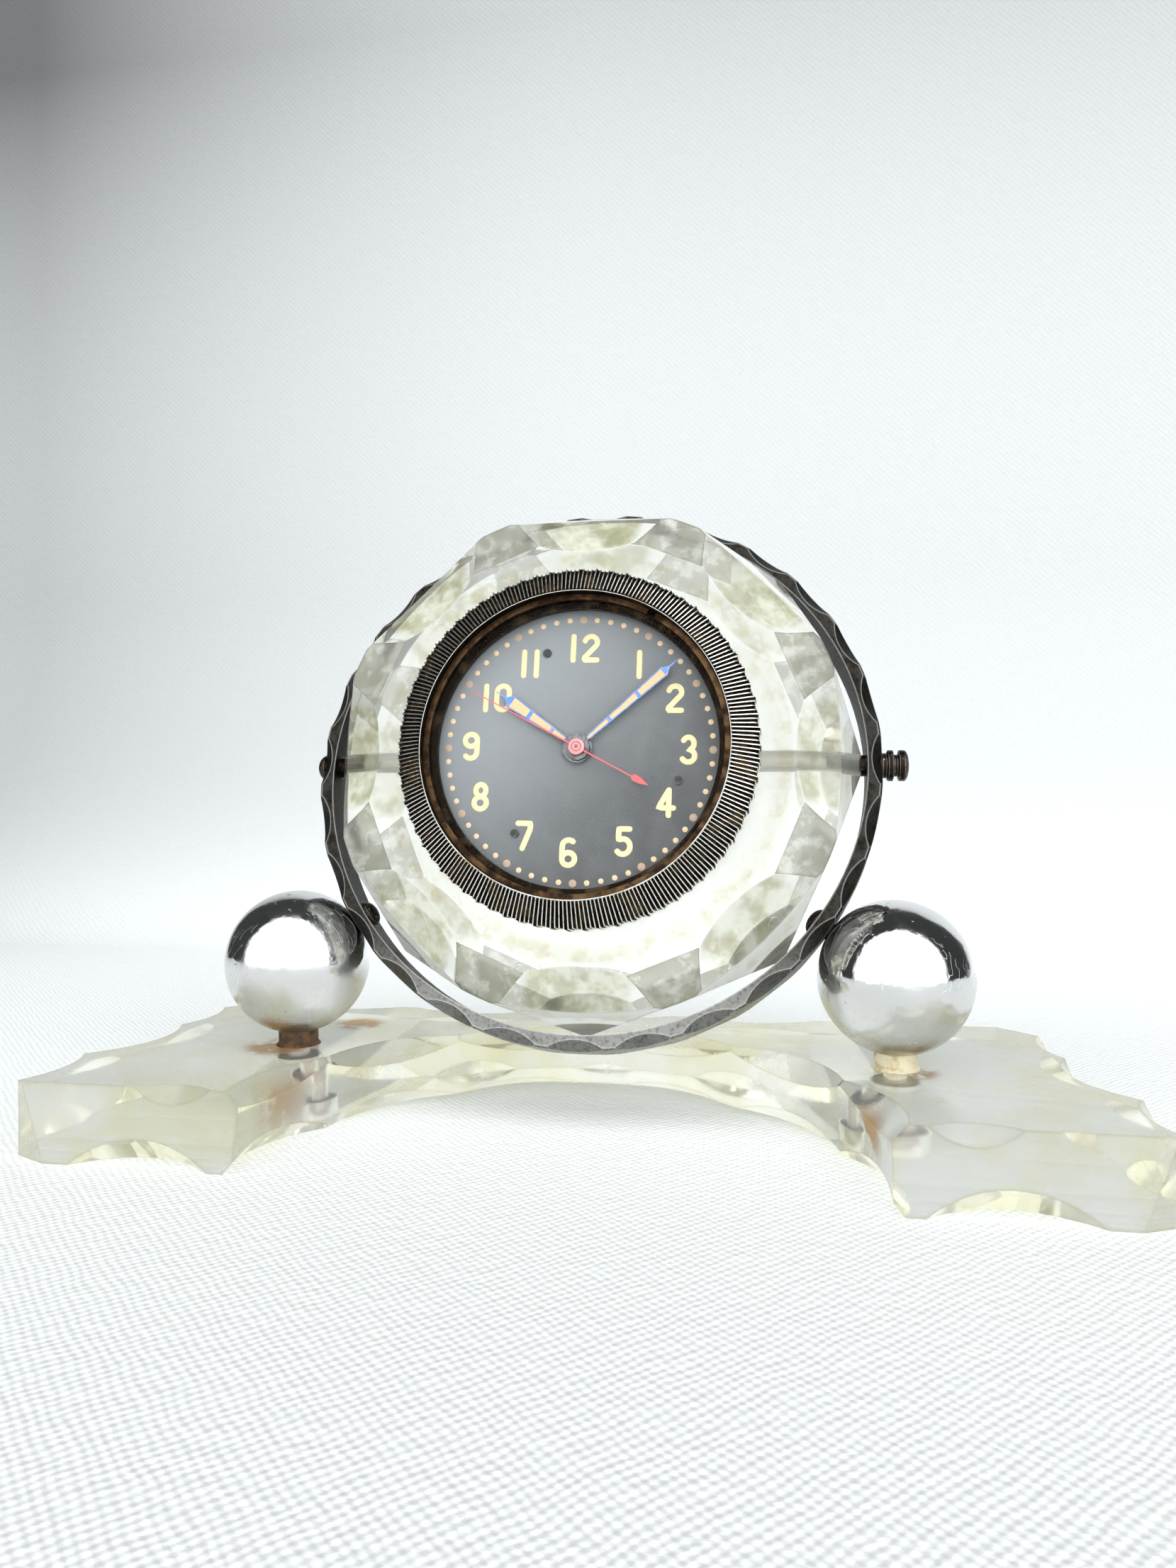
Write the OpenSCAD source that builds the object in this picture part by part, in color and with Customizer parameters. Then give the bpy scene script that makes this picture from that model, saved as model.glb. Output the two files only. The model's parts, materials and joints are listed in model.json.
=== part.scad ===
// Dashboard clock on a desk stand: a round clock wound by its bezel, held in a faceted clear drum
// that turns on two pivot screws inside a metal ring, on two steel balls and a clear base plate.
// Millimetres, +Z up, -Y to the front. The origin is the middle of the base's underside.

/* [Base plate] */
// Width of the base plate
base_w = 184; // [150:1:220]
// Depth of the base plate, front to back
base_d = 68; // [60:1:90]
// Thickness of the base plate
base_h = 12.8; // [9:0.1:18]
// Radius of the bay cut out of the front edge
bay_r = 51.5; // [40:0.5:58]
// Width of the chamfer at each front corner, along the front edge
front_chamfer_w = 6.6; // [2:0.1:10]
// Depth of the chamfer at each front corner, along the side
front_chamfer_d = 3; // [1:0.1:8]
// How far the side comes in between the front and the back of the plate
side_taper = 5.5; // [0:0.1:9]
// Size of the chamfer at each back corner
back_chamfer = 7; // [2:0.1:10]
// Half length of the arched scoop under each front lobe
lobe_arch_half = 12.4; // [6:0.1:15]
// Height of the arched scoop under each front lobe
lobe_arch_h = 5.5; // [3:0.1:7]
// Depth of the lens-shaped scoops along the edges, measured on the face
edge_scoop_h = 3.6; // [1:0.1:5]
// Rise of the underside in the middle of the plate
under_arch_h = 2.6; // [0.5:0.1:4]
// Slope of the front faces: how far the top edge stands back
front_slope = 2.6; // [0:0.1:4]

/* [Balls and ring] */
// Diameter of each steel ball
ball_d = 27; // [22:0.5:30]
// Direction of each ball from the ring's centre, below the level, in degrees
ball_angle = 35.33; // [30:0.01:40]
// Height of the collar's rim under each ball, above the plate
collar_h = 2.9; // [1.5:0.1:6]
// Diameter of the collar under each ball
collar_d = 7.4; // [6.4:0.1:10]
// Diameter of the stud that holds each ball
stud_d = 4; // [3:0.1:5]
// Clearance between the drum's corners and the inside of the ring
ring_play = 0.3; // [0.2:0.05:1.5]
// Radial thickness of the ring
ring_t = 2.8; // [2:0.1:3]
// Width of the ring along its axis
ring_w = 8; // [6:0.5:15]
// Number of scooped bites round the ring's front corner and round its back corner
ring_bites = 28; // [16:4:40]
// Depth of those bites on the ring's faces
ring_bite = 2; // [0.5:0.1:2.4]
// Lean of the ring, back from upright, in degrees
ring_lean = 19.5; // [5:0.1:22]
// Diameter of the head of each screw that holds the ring to a ball
ring_screw_head_d = 5.2; // [4.5:0.1:6]

/* [Drum] */
// Radius to the corners of the octagon round the middle of the drum
drum_mid_r = 51.5; // [48:0.1:54]
// How far the corners of its front and back octagons lie inside those of the middle one
drum_face_in = 3.4; // [2:0.1:8]
// Thickness of the drum, front to back
drum_w = 29.4; // [26:0.1:30]
// Lean of the drum, back from upright, in degrees
drum_lean = 10.4; // [0:0.1:20]
// Width of the point left between two scoops at each corner of the front and back faces
drum_point_w = 0.8; // [0.4:0.1:6]
// Width on the flat face of the lens-shaped scoop along each edge
drum_scoop_h = 5.9; // [2:0.1:6.5]
// Angle of those scoops to the flat face, in degrees
drum_scoop_slope = 30; // [25:1:60]
// Distance from each face corner at which its triangular facet starts
corner_facet = 7.6; // [3:0.1:9]
// Depth of the triangular facet at the outer end
corner_facet_h = 2.2; // [0.5:0.1:4]
// Diameter of the two pivot screws
pivot_d = 4; // [3:0.1:4.4]
// Length of each pivot screw inside the drum
pivot_len = 9; // [5:0.5:14]
// Running clearance between a screw or an arbor and its hole
run_gap = 0.06; // [0.02:0.01:0.1]

/* [Clock case and bezel] */
// Outer radius of the clock case in the drum's bore
case_r = 29; // [28:0.1:31]
// Wall of the clock case
case_wall = 1.3; // [1:0.1:1.6]
// Distance of the back of the case behind the pivot axis
case_back = 14; // [8:0.1:14.5]
// Outer radius of the bezel
bezel_r = 32.7; // [32:0.1:34]
// Radius of the bezel's bright inner rim
bezel_rim_r = 27.42; // [27:0.01:28]
// Distance of the bezel's outer edge in front of the pivot axis
bezel_edge_w = 21.6; // [20:0.1:23]
// Distance of the bezel's inner rim in front of the pivot axis
bezel_rim_w = 24.2; // [23:0.1:26]
// Number of notches in the bezel's outer edge
bezel_notches = 72; // [48:1:90]
// Radius of the dial that shows
dial_view_r = 25.4; // [24:0.1:25.6]
// Clockwise turn of the clock in the drum, in degrees
dial_turn = 0.8; // [0:0.1:5]

/* [Hands] */
// Length of the minute hand
minute_len = 23.8; // [20:0.1:24.5]
// Length of the hour hand
hour_len = 18.7; // [14:0.1:20]
// Distance of the minute hand's shoulder from the centre
minute_shoulder = 20.7; // [16:0.1:21]
// Distance of the hour hand's shoulder from the centre
hour_shoulder = 15.3; // [11:0.1:15.5]
// Greatest half width of the minute hand
minute_waist = 0.95; // [0.7:0.05:1.2]
// Greatest half width of the hour hand
hour_waist = 1.25; // [0.8:0.05:1.5]
// Width of the cross-bars in both hands
hand_bar_w = 0.65; // [0.3:0.05:1]
// Width of the blue edge beside the hands' windows
hand_edge_w = 0.2; // [0.12:0.01:0.3]
// Length of the seconds hand's thin end
seconds_len = 22.3; // [18:0.1:24]
// Length of the seconds hand's arrow end
seconds_tail = 14.8; // [8:0.1:16]
// Angle of the minute hand, clockwise from twelve
minute_angle = 47.5; // [0:0.5:360]
// Angle of the hour hand, clockwise from twelve
hour_angle = 304; // [0:0.5:360]
// Angle of the seconds hand's thin end, clockwise from twelve
seconds_angle = 297.4; // [0:0.1:360]

/* [Movement] */
// Direction of the mainspring barrel from the centre, in degrees
barrel_dir = 140; // [130:1:150]
// Direction of the third wheel from the centre, in degrees
third_dir = -15; // [-25:1:-5]
// Direction of the fourth wheel from the third wheel, in degrees
fourth_dir = -100; // [-105:1:-95]
// Direction of the escape wheel from the fourth wheel, in degrees
escape_dir = -170; // [-174:1:-166]
// Direction of the pallet fork from the escape wheel, in degrees
fork_dir = -165; // [-168:1:-162]
// Direction of the balance from the pallet fork, in degrees
balance_dir = 172; // [168:1:176]
// Direction of the minute wheel from the centre, in degrees
minute_wheel_dir = 75; // [60:1:90]
// Thickness of the wheels
wheel_t = 0.6; // [0.4:0.1:0.8]
// Radius of the wheel arbors
arbor_r = 0.45; // [0.35:0.05:0.5]

/* [Hidden] */
$fn = 72;
hull_fn = 32;
eps = 0.01;
over = 1;

// Plate
half_w = base_w / 2;
half_d = base_d / 2;
lobe_mid_x = (bay_r + half_w - front_chamfer_w) / 2;
bay_ridges = 5;
bay_pitch = 31;
bay_scoop_half = bay_r * sin(bay_pitch / 2);
bay_chord_in = 1;
arch_half = 42;
arch_r = (arch_half * arch_half + under_arch_h * under_arch_h) / (2 * under_arch_h);

// Ball seats and the ring's place
ball_r = ball_d / 2;
collar_r = collar_d / 2;
seat_drop = ball_r - sqrt(ball_r * ball_r - collar_r * collar_r);
ball_z = base_h + collar_h + ball_r - seat_drop;
ring_seat_gap = 0.05;
ring_in_r = drum_mid_r + ring_play;
ring_r = ring_in_r + ring_t;
reach = ring_r + ball_r + ring_seat_gap;
ball_x = reach * cos(ball_angle);
ring_drop = reach * sin(ball_angle);
ring_y = ring_drop * sin(ring_lean);
ring_z = ball_z + ring_drop * cos(ring_lean);
ring_bite_half = 0.98 * ring_r * sin(180 / ring_bites);
ring_screw_r = 1.7;
ring_screw_reach = 7;
ring_screw_head_h = 1.7;
ring_spot_depth = 0.1;
stud_r = stud_d / 2;
stud_head_r = 4.2;
stud_head_h = 2.4;
stud_recess = 0.8;
stud_up = 8;

// Drum and pivots
drum_half = drum_w / 2;
pivot_r = pivot_d / 2;
pivot_head_r = 2.65;
thumb_neck_r = 2.35;
thumb_ridge_r = 2.9;
thumb_groove_r = 2.05;
drum_face_r = drum_mid_r - drum_face_in;
face_apothem = drum_face_r * cos(22.5);
drum_scoop_half = drum_face_r * sin(22.5) - drum_point_w / 2;

// Case, along the clock's own axis, measured forward from the pivot axis
case_in_r = case_r - case_wall;
flange_r = case_r + 2;
flange_t = 1.5;
case_fit = 0.1;
neck_r = 27.3;
neck_in_r = 26.2;
neck_top = 18.6;
cover_t = 1.8;
lug_r = 2.4;
lug_h = 5;
lug_gap = 0.4;
lugs = 4;
lug_sink = 0.8;
lug_ring = case_in_r - lug_r + lug_sink;
cover_screw_r = 0.9;

// Bezel
bezel_back = drum_half + 0.3;
skirt_in_r = 29.2;
ledge_bottom = 19;
ledge_top = 20;
bezel_gear_t = 1.2;
glass_t = 1.6;
glass_r = bezel_rim_r - 0.05;
snap_t = 0.8;
snap_groove = 0.5;
snap_gap_angle = 3.2;
snap_gap_dir = 90 - 29;
retainer_w = 1;

// Dial and hands, heights along the clock's axis
dial_r = 26;
dial_back = 16.6;
dial_front = 17.2;
dial_hole_r = 2.3;
dial_screw_ring = 19;
dial_screw_dirs = [343, 235, 110];
hour_w = 17.9;
minute_w = 18.45;
seconds_w = 19;
hand_t = 0.25;
hub_top = 19.6;
inlay_gap = 0.04;

// Movement levels along the clock's axis
plate_back = 11;
plate_front = drum_half - flange_t;
plate_r = case_in_r - 0.1;
bridge_back = -1.5;
bridge_front = 0.5;
bridge_r = 23;
pillar_ring = 21.2;
pillar_dirs = [55, 205, 310];
pillar_r = 1.6;
pillar_screw_r = 0.8;

// Tooth counts and modules
great_n = 90;
centre_pinion_n = 12;
centre_n = 80;
pinion_n = 10;
third_n = 75;
fourth_n = 70;
escape_pinion_n = 7;
escape_n = 15;
cannon_n = 12;
minute_n = 36;
minute_pinion_n = 10;
hour_n = 40;
bezel_n = 112;
wind_top_n = 10;
wind_low_n = 10;
ratchet_n = 70;
barrel_off = 13.5;
great_m = 2 * barrel_off / (great_n + centre_pinion_n);
centre_m = 0.2;
third_off = centre_m * (centre_n + pinion_n) / 2;
third_m = 2 * third_off / (third_n + pinion_n);
fourth_m = 0.15;
escape_off = fourth_m * (fourth_n + escape_pinion_n) / 2;
motion_off = 6;
cannon_m = 2 * motion_off / (cannon_n + minute_n);
hour_m = 2 * motion_off / (minute_pinion_n + hour_n);
bezel_m = 0.5;
wind_off = bezel_m * (bezel_n - wind_top_n) / 2;
ratchet_m = 2 * (wind_off - barrel_off) / (ratchet_n + wind_low_n);
fork_off = 5;
balance_off = 5.6;
escape_tip_r = 3.6;
escape_neck_r = 0.3;
balance_r = 4.9;
barrel_arbor_r = 0.92;
centre_arbor_r = 0.9;
centre_hole_r = 0.7;
post_r = 0.6;
post_top = 16.1;
barrel_in_r = 10.4;
pallet_reach = 0.55;

// Tooth form: addendum and dedendum in modules, thickness in shares of the pitch
addendum = 0.8;
dedendum = 1.15;
tip_share = 0.2;
root_share = 0.5;

// Places of the arbors, seen from the front
function polar(r, a) = [r * cos(a), r * sin(a)];
barrel_at = polar(barrel_off, barrel_dir);
wind_at = polar(wind_off, barrel_dir);
third_at = polar(third_off, third_dir);
fourth_at = third_at + polar(third_off, fourth_dir);
escape_at = fourth_at + polar(escape_off, escape_dir);
fork_at = escape_at + polar(fork_off, fork_dir);
balance_at = fork_at + polar(balance_off, balance_dir);
minute_wheel_at = polar(motion_off, minute_wheel_dir);

// Levels: [back, front] of each wheel and pinion
great_lv = [7.8, 8.9];
barrel_lv = [3.6, 9.2];
ratchet_lv = [9.5, 10.5];
centre_lv = [2.4, 2.4 + wheel_t];
centre_pinion_lv = [7.6, 9.1];
centre_arbor_lv = [2.2, 18.7];
third_pinion_lv = [2.1, 3.3];
third_lv = [1, 1 + wheel_t];
small_pinion_lv = [0.8, 1.8];
fourth_lv = [5, 5 + wheel_t];
escape_pinion_lv = [4.7, 5.9];
escape_lv = [8.2, 8.2 + wheel_t];
balance_lv = [5.4, 6.4];
hairspring_lv = [2.6, 3.2];
cannon_lv = [13.5, 14.5];
minute_lv = [13.6, 13.6 + wheel_t];
minute_pinion_lv = [14.6, 15.7];
hour_lv = [14.8, 14.8 + wheel_t];

// Phase of a driven gear whose teeth fit those of its driver in the direction dir
function mesh(dir, n_a, phase_a, n_b) = dir + 180 + 180 / n_b + (dir - phase_a) * n_a / n_b;
function mesh_inside(dir, n_ring, phase_ring, n_b) =
    dir + 180 / n_b - (dir - phase_ring) * n_ring / n_b;
centre_phase = 0;
great_phase = mesh(barrel_dir + 180, centre_pinion_n, 0, great_n);
third_pinion_phase = mesh(third_dir, centre_n, centre_phase, pinion_n);
fourth_pinion_phase = mesh(fourth_dir, third_n, 0, pinion_n);
seconds_pinion_phase = mesh(third_dir + 180, third_n, 0, pinion_n);
escape_pinion_phase = mesh(escape_dir, fourth_n, 0, escape_pinion_n);
minute_wheel_phase = mesh(minute_wheel_dir, cannon_n, 0, minute_n);
minute_pinion_phase = mesh(minute_wheel_dir + 180, hour_n, 0, minute_pinion_n);
wind_phase = mesh_inside(barrel_dir, bezel_n, 0, wind_top_n);
ratchet_phase = mesh(barrel_dir + 180, wind_low_n, 0, ratchet_n);

// Puts the clock's own axes in place: x to three o'clock, y to twelve, z out of the dial
module in_drum() translate([0, ring_y, ring_z]) rotate([90 - drum_lean, 0, 0]) children();
module in_clock() in_drum() rotate(-dial_turn) children();
module in_ring() translate([0, ring_y, ring_z]) rotate([90 - ring_lean, 0, 0]) children();

// A disc or ring between two levels
module disc(r, lv, hole = 0)
    translate([0, 0, lv[0]]) linear_extrude(lv[1] - lv[0]) difference() {
        circle(r);
        if (hole > 0) circle(hole);
    }

// Outline of a toothed wheel with straight-sided teeth
function tooth_points(n, r_tip, r_root, phase) =
    [for (i = [0 : n - 1]) for (k = [[-root_share, r_root], [-tip_share, r_tip],
                                     [tip_share, r_tip], [root_share, r_root]])
        polar(k[1], phase + 360 / n * (i + k[0] / 2))];
module teeth(n, m, phase) polygon(tooth_points(n, m * (n / 2 + addendum), m * (n / 2 - dedendum), phase));

// A wheel cut out between its spokes
module crossings(r_out, r_in, spokes, spoke_w)
    difference() {
        circle(r_out);
        circle(r_in);
        for (i = [0 : spokes - 1]) rotate(360 / spokes * i) translate([0, -spoke_w / 2])
            square([r_out + over, spoke_w]);
    }
module wheel(n, m, lv, phase, hole, spokes = 5)
    translate([0, 0, lv[0]]) linear_extrude(lv[1] - lv[0]) difference() {
        teeth(n, m, phase);
        circle(hole);
        crossings(m * n / 2 - 1.1, 1.9, spokes, 0.8);
    }
module pinion(n, m, lv, phase, hole = 0)
    translate([0, 0, lv[0]]) linear_extrude(lv[1] - lv[0]) difference() {
        teeth(n, m, phase);
        if (hole > 0) circle(hole);
    }

// Cuts a lens-shaped scoop out of a straight edge along X of a body that lies at +Y and +Z.
// The scoop is a cylinder laid square to the edge at the angle slope to the face at z = 0.
module lens_scoop(half, depth, slope = 45) {
    s = depth * sin(slope);
    r = (half * half + s * s) / (2 * s);
    rotate([180 - slope, 0, 0]) translate([0, 0, r - s]) rotate([90, 0, 0])
        cylinder(r = r, h = 40, center = true);
}

// Plan of the base plate
module base_plan() {
    right = [[0, -half_d], [half_w - front_chamfer_w, -half_d], [half_w, -half_d + front_chamfer_d],
             [half_w, -half_d * 0.3], [half_w - side_taper, half_d * 0.15],
             [half_w - side_taper, half_d - back_chamfer], [half_w - side_taper - back_chamfer, half_d]];
    left = [for (i = [len(right) - 1 : -1 : 1]) [-right[i][0], right[i][1]]];
    polygon(concat(right, left));
}

// Scoops that shape the plate's edges
module base_scoops() {
    for (side = [-1, 1]) {
        // the arch under each front lobe
        translate([side * lobe_mid_x, -half_d, 0]) lens_scoop(lobe_arch_half, lobe_arch_h);
        // small scoop on each lobe's upper front edge
        translate([side * (bay_r + 12), -half_d + front_slope, base_h]) mirror([0, 0, 1])
            lens_scoop(7, 2.2);
        // scoops along the sides, top edge
        for (y = [-22, 2, 20]) translate([side * (half_w - (y > 0 ? side_taper : 0)), y, base_h])
            rotate(side * 90) mirror([0, 0, 1]) lens_scoop(9, 2.4);
        for (y = [-8, 14]) translate([side * (half_w - (y > 0 ? side_taper : 0)), y, 0])
            rotate(side * 90) lens_scoop(10, 3.4);
    }
    // scoops round the bay, upper and lower edge
    translate([0, -half_d, 0]) for (i = [0 : bay_ridges]) rotate((i - bay_ridges / 2) * bay_pitch)
        translate([0, bay_r - bay_chord_in, 0]) {
            translate([0, 0, base_h]) mirror([0, 0, 1])
                lens_scoop(bay_scoop_half, edge_scoop_h + bay_chord_in);
            lens_scoop(bay_scoop_half, edge_scoop_h + bay_chord_in);
        }
    // scoops along the back
    for (x = [-60, -30, 0, 30, 60]) {
        translate([x, half_d, base_h]) mirror([0, 0, 1]) mirror([0, 1, 0]) lens_scoop(13, edge_scoop_h);
        translate([x, half_d, 0]) mirror([0, 1, 0]) lens_scoop(13, edge_scoop_h);
    }
}

module base_plate() color([0.93, 0.93, 0.85, 0.55])
    difference() {
        linear_extrude(base_h) base_plan();
        translate([0, -half_d, -over]) cylinder(r = bay_r, h = base_h + 2 * over);
        base_scoops();
        // the sloping front faces
        translate([-half_w - over, -half_d, 0]) rotate([-atan2(front_slope, base_h), 0, 0])
            translate([0, -10, -over]) cube([base_w + 2 * over, 10, base_h + 6]);
        // the raised middle of the underside
        translate([0, 0, under_arch_h - arch_r]) rotate([90, 0, 0])
            cylinder(r = arch_r, h = base_d + 2 * over, center = true, $fn = 180);
        // holes and head recesses for the ball studs
        for (side = [-1, 1]) translate([side * ball_x, 0, 0]) {
            translate([0, 0, -over]) cylinder(r = stud_r + 0.1, h = base_h + 2 * over);
            translate([0, 0, -over]) cylinder(r = stud_head_r + 0.3, h = stud_recess + stud_head_h + over);
        }
    }
module ball_collar() color([0.86, 0.84, 0.72])
    translate([0, 0, base_h]) rotate_extrude() polygon([
        [stud_r + 0.1, 0], [collar_r + 0.5, 0], [collar_r, 0.6], [collar_r, collar_h],
        [stud_r + 0.1, collar_h]]);

// A steel ball, spot-faced under the collar and drilled for the stud and the ring screw
module ball(side) color([0.62, 0.63, 0.65])
    difference() {
        translate([0, 0, ball_z]) sphere(r = ball_r, $fn = 96);
        translate([0, 0, base_h + collar_h - ball_r]) cylinder(r = ball_r, h = ball_r);
        translate([0, 0, base_h]) cylinder(r = stud_r, h = collar_h + stud_up);
        translate([-side * ball_x, 0, 0]) ring_screw_place(side)
            cylinder(r = ring_screw_r, h = ring_t + ring_screw_reach);
    }

module ball_stud() color([0.45, 0.42, 0.38]) {
    translate([0, 0, stud_recess]) rotate_extrude() polygon([
        [0, 0], [stud_head_r - 1, 0], [stud_head_r, 0.8], [stud_head_r, stud_head_h], [0, stud_head_h]]);
    translate([0, 0, stud_recess + stud_head_h - eps])
        cylinder(r = stud_r, h = base_h + collar_h + stud_up - stud_recess - stud_head_h - over);
}

// Local z runs out through the ring at the place where it meets a ball
module ring_screw_place(side)
    in_ring() rotate(side > 0 ? -ball_angle : 180 + ball_angle)
        translate([ring_in_r, 0, 0]) rotate([0, 90, 0]) children();

module ring() color([0.5, 0.48, 0.43])
    difference() {
        in_ring() difference() {
            rotate_extrude($fn = 144) polygon([
                [ring_in_r, -ring_w / 2], [ring_r - 0.4, -ring_w / 2], [ring_r, -ring_w / 2 + 0.6],
                [ring_r, ring_w / 2 - 0.6], [ring_r - 0.4, ring_w / 2], [ring_in_r, ring_w / 2]]);
            for (i = [0 : ring_bites - 1]) rotate(360 / ring_bites * i) {
                translate([0, ring_r, ring_w / 2]) mirror([0, 0, 1]) mirror([0, 1, 0])
                    lens_scoop(ring_bite_half, ring_bite);
                translate([0, ring_r, -ring_w / 2]) mirror([0, 1, 0]) lens_scoop(ring_bite_half, ring_bite);
            }
        }
        for (side = [-1, 1]) {
            ring_screw_place(side) {
                translate([0, 0, -over]) cylinder(r = ring_screw_r, h = ring_t + 2 * over);
                translate([0, 0, -over])
                    cylinder(r = ring_screw_head_d / 2 + 0.1, h = ring_spot_depth + over);
            }
            in_ring() rotate([0, side * 90, 0]) translate([0, 0, ring_in_r - over])
                cylinder(r = pivot_r + run_gap, h = ring_t + 2 * over);
        }
    }

module ring_screw(side) color([0.25, 0.22, 0.2])
    ring_screw_place(side) translate([0, 0, ring_spot_depth]) {
        rotate_extrude() polygon(concat([[0, 0], [ring_screw_head_d / 2, 0]],
            [for (a = [15 : 15 : 90]) [ring_screw_head_d / 2 * cos(a), -ring_screw_head_h * sin(a)]]));
        translate([0, 0, -eps]) cylinder(r = ring_screw_r, h = ring_t + ring_screw_reach - over);
    }

// Pivot screws, drawn along local z from the pivot axis outwards
module pivot_place(side) in_drum() rotate([0, side * 90, 0]) children();
module pivot_screw_left() color([0.22, 0.2, 0.18])
    pivot_place(-1) {
        translate([0, 0, ring_r + 0.15]) rotate_extrude() polygon(concat([[0, 0]],
            [for (a = [0 : 15 : 90]) [pivot_head_r * cos(a), 1.9 * sin(a)]]));
        translate([0, 0, drum_mid_r - pivot_len])
            cylinder(r = pivot_r, h = pivot_len + ring_r - drum_mid_r + 0.2);
    }
module pivot_thumb_screw() color([0.24, 0.21, 0.17])
    pivot_place(1) {
        translate([0, 0, ring_r + 0.15]) rotate_extrude() polygon(concat([[0, 0], [thumb_neck_r, 0],
            [thumb_neck_r, 0.7], [thumb_ridge_r, 0.95], [thumb_ridge_r, 1.85], [thumb_groove_r, 2.1],
            [thumb_groove_r, 2.7], [thumb_ridge_r, 2.95], [thumb_ridge_r, 3.9]],
            [for (a = [15 : 15 : 90]) [thumb_ridge_r * cos(a), 3.9 + 0.9 * sin(a)]]));
        translate([0, 0, drum_mid_r - pivot_len])
            cylinder(r = pivot_r, h = pivot_len + ring_r - drum_mid_r + 0.2);
    }

// The faceted body of the drum: two octagonal faces, turned half a side from the middle octagon
module drum_body() hull() {
    for (w = [-drum_half, drum_half - eps]) translate([0, 0, w]) rotate(22.5)
        cylinder(r = drum_face_r, h = eps, $fn = 8);
    translate([0, 0, -eps / 2]) cylinder(r = drum_mid_r, h = eps, $fn = 8);
}
module drum_face_cuts() for (k = [0 : 7]) rotate(45 * k) {
    translate([0, face_apothem, drum_half]) mirror([0, 0, 1]) mirror([0, 1, 0])
        lens_scoop(drum_scoop_half, drum_scoop_h, drum_scoop_slope);
    rotate(22.5) translate([-corner_facet, drum_face_r - corner_facet, drum_half])
        rotate([-atan2(corner_facet_h, corner_facet), 0, 0]) cube([2 * corner_facet, 3 * corner_facet, corner_facet]);
}
module drum() color([0.9, 0.92, 0.9, 0.4])
    in_drum() difference() {
        drum_body();
        drum_face_cuts();
        mirror([0, 0, 1]) drum_face_cuts();
        cylinder(r = case_r + case_fit, h = drum_w + 2 * over, center = true);
        translate([0, 0, plate_front]) cylinder(r = flange_r + case_fit, h = flange_t + over);
        rotate([0, 90, 0]) translate([0, 0, case_r - over]) cylinder(r = pivot_r + run_gap, h = drum_mid_r);
        rotate([0, -90, 0]) translate([0, 0, case_r - over]) cylinder(r = pivot_r, h = drum_mid_r);
    }

module at_lugs() for (i = [0 : lugs - 1]) rotate(360 / lugs * (i + 0.5))
    translate([lug_ring, 0, -case_back]) children();
module clock_case() color([0.16, 0.15, 0.14])
    in_clock() difference() {
        union() {
            rotate_extrude() polygon([
                [case_in_r, cover_t - case_back], [case_r, cover_t - case_back], [case_r, plate_front],
                [flange_r, plate_front], [flange_r, drum_half], [neck_r, drum_half], [neck_r, neck_top],
                [neck_in_r, neck_top], [neck_in_r, plate_front], [case_in_r, plate_front]]);
            at_lugs() translate([0, 0, cover_t + lug_gap]) cylinder(r = lug_r, h = lug_h);
        }
        at_lugs() translate([0, 0, cover_t - over]) cylinder(r = cover_screw_r, h = lug_h + 2 * over);
        // pocket that lets the winding pinion reach the bezel's teeth
        translate([wind_at[0], wind_at[1], plate_front - 0.5])
            cylinder(r = bezel_m * (wind_top_n / 2 + addendum) + 0.3, h = 0.5 + flange_t + 1.9);
    }

module back_cover() color([0.35, 0.34, 0.32])
    in_clock() difference() {
        translate([0, 0, -case_back]) cylinder(r = case_r - 0.1, h = cover_t);
        at_lugs() translate([0, 0, -over]) cylinder(r = cover_screw_r, h = cover_t + 2 * over);
        translate([0, 0, -case_back - over]) difference() {
            cylinder(r = lug_ring - 3.2, h = over + 0.5);
            cylinder(r = lug_ring - 4.4, h = over + 0.5);
        }
    }
module back_cover_screws() color([0.6, 0.58, 0.5])
    in_clock() at_lugs() {
        difference() {
            translate([0, 0, -0.7]) cylinder(r = 1.6, h = 0.7);
            translate([-2, -0.2, -0.7 - over]) cube([4, 0.4, 0.35 + over]);
        }
        translate([0, 0, -eps]) cylinder(r = cover_screw_r, h = cover_t + 3.4);
    }

module dial() color([0.2, 0.2, 0.21])
    in_clock() difference() {
        disc(dial_r, [dial_back, dial_front], dial_hole_r);
        for (a = dial_screw_dirs) rotate(a) translate([dial_screw_ring, 0, dial_back - over])
            cylinder(r = 0.5, h = 2);
    }
module dial_screws() color([0.3, 0.3, 0.32])
    in_clock() for (a = dial_screw_dirs) rotate(a) translate([dial_screw_ring, 0, 0]) {
        difference() {
            translate([0, 0, dial_front]) cylinder(r = 0.8, h = 0.3);
            translate([-1, -0.1, dial_front + 0.15]) cube([2, 0.2, 0.3]);
        }
        translate([0, 0, plate_front - 1.2]) cylinder(r = 0.5, h = dial_front - plate_front + 1.2 + eps);
    }

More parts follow.
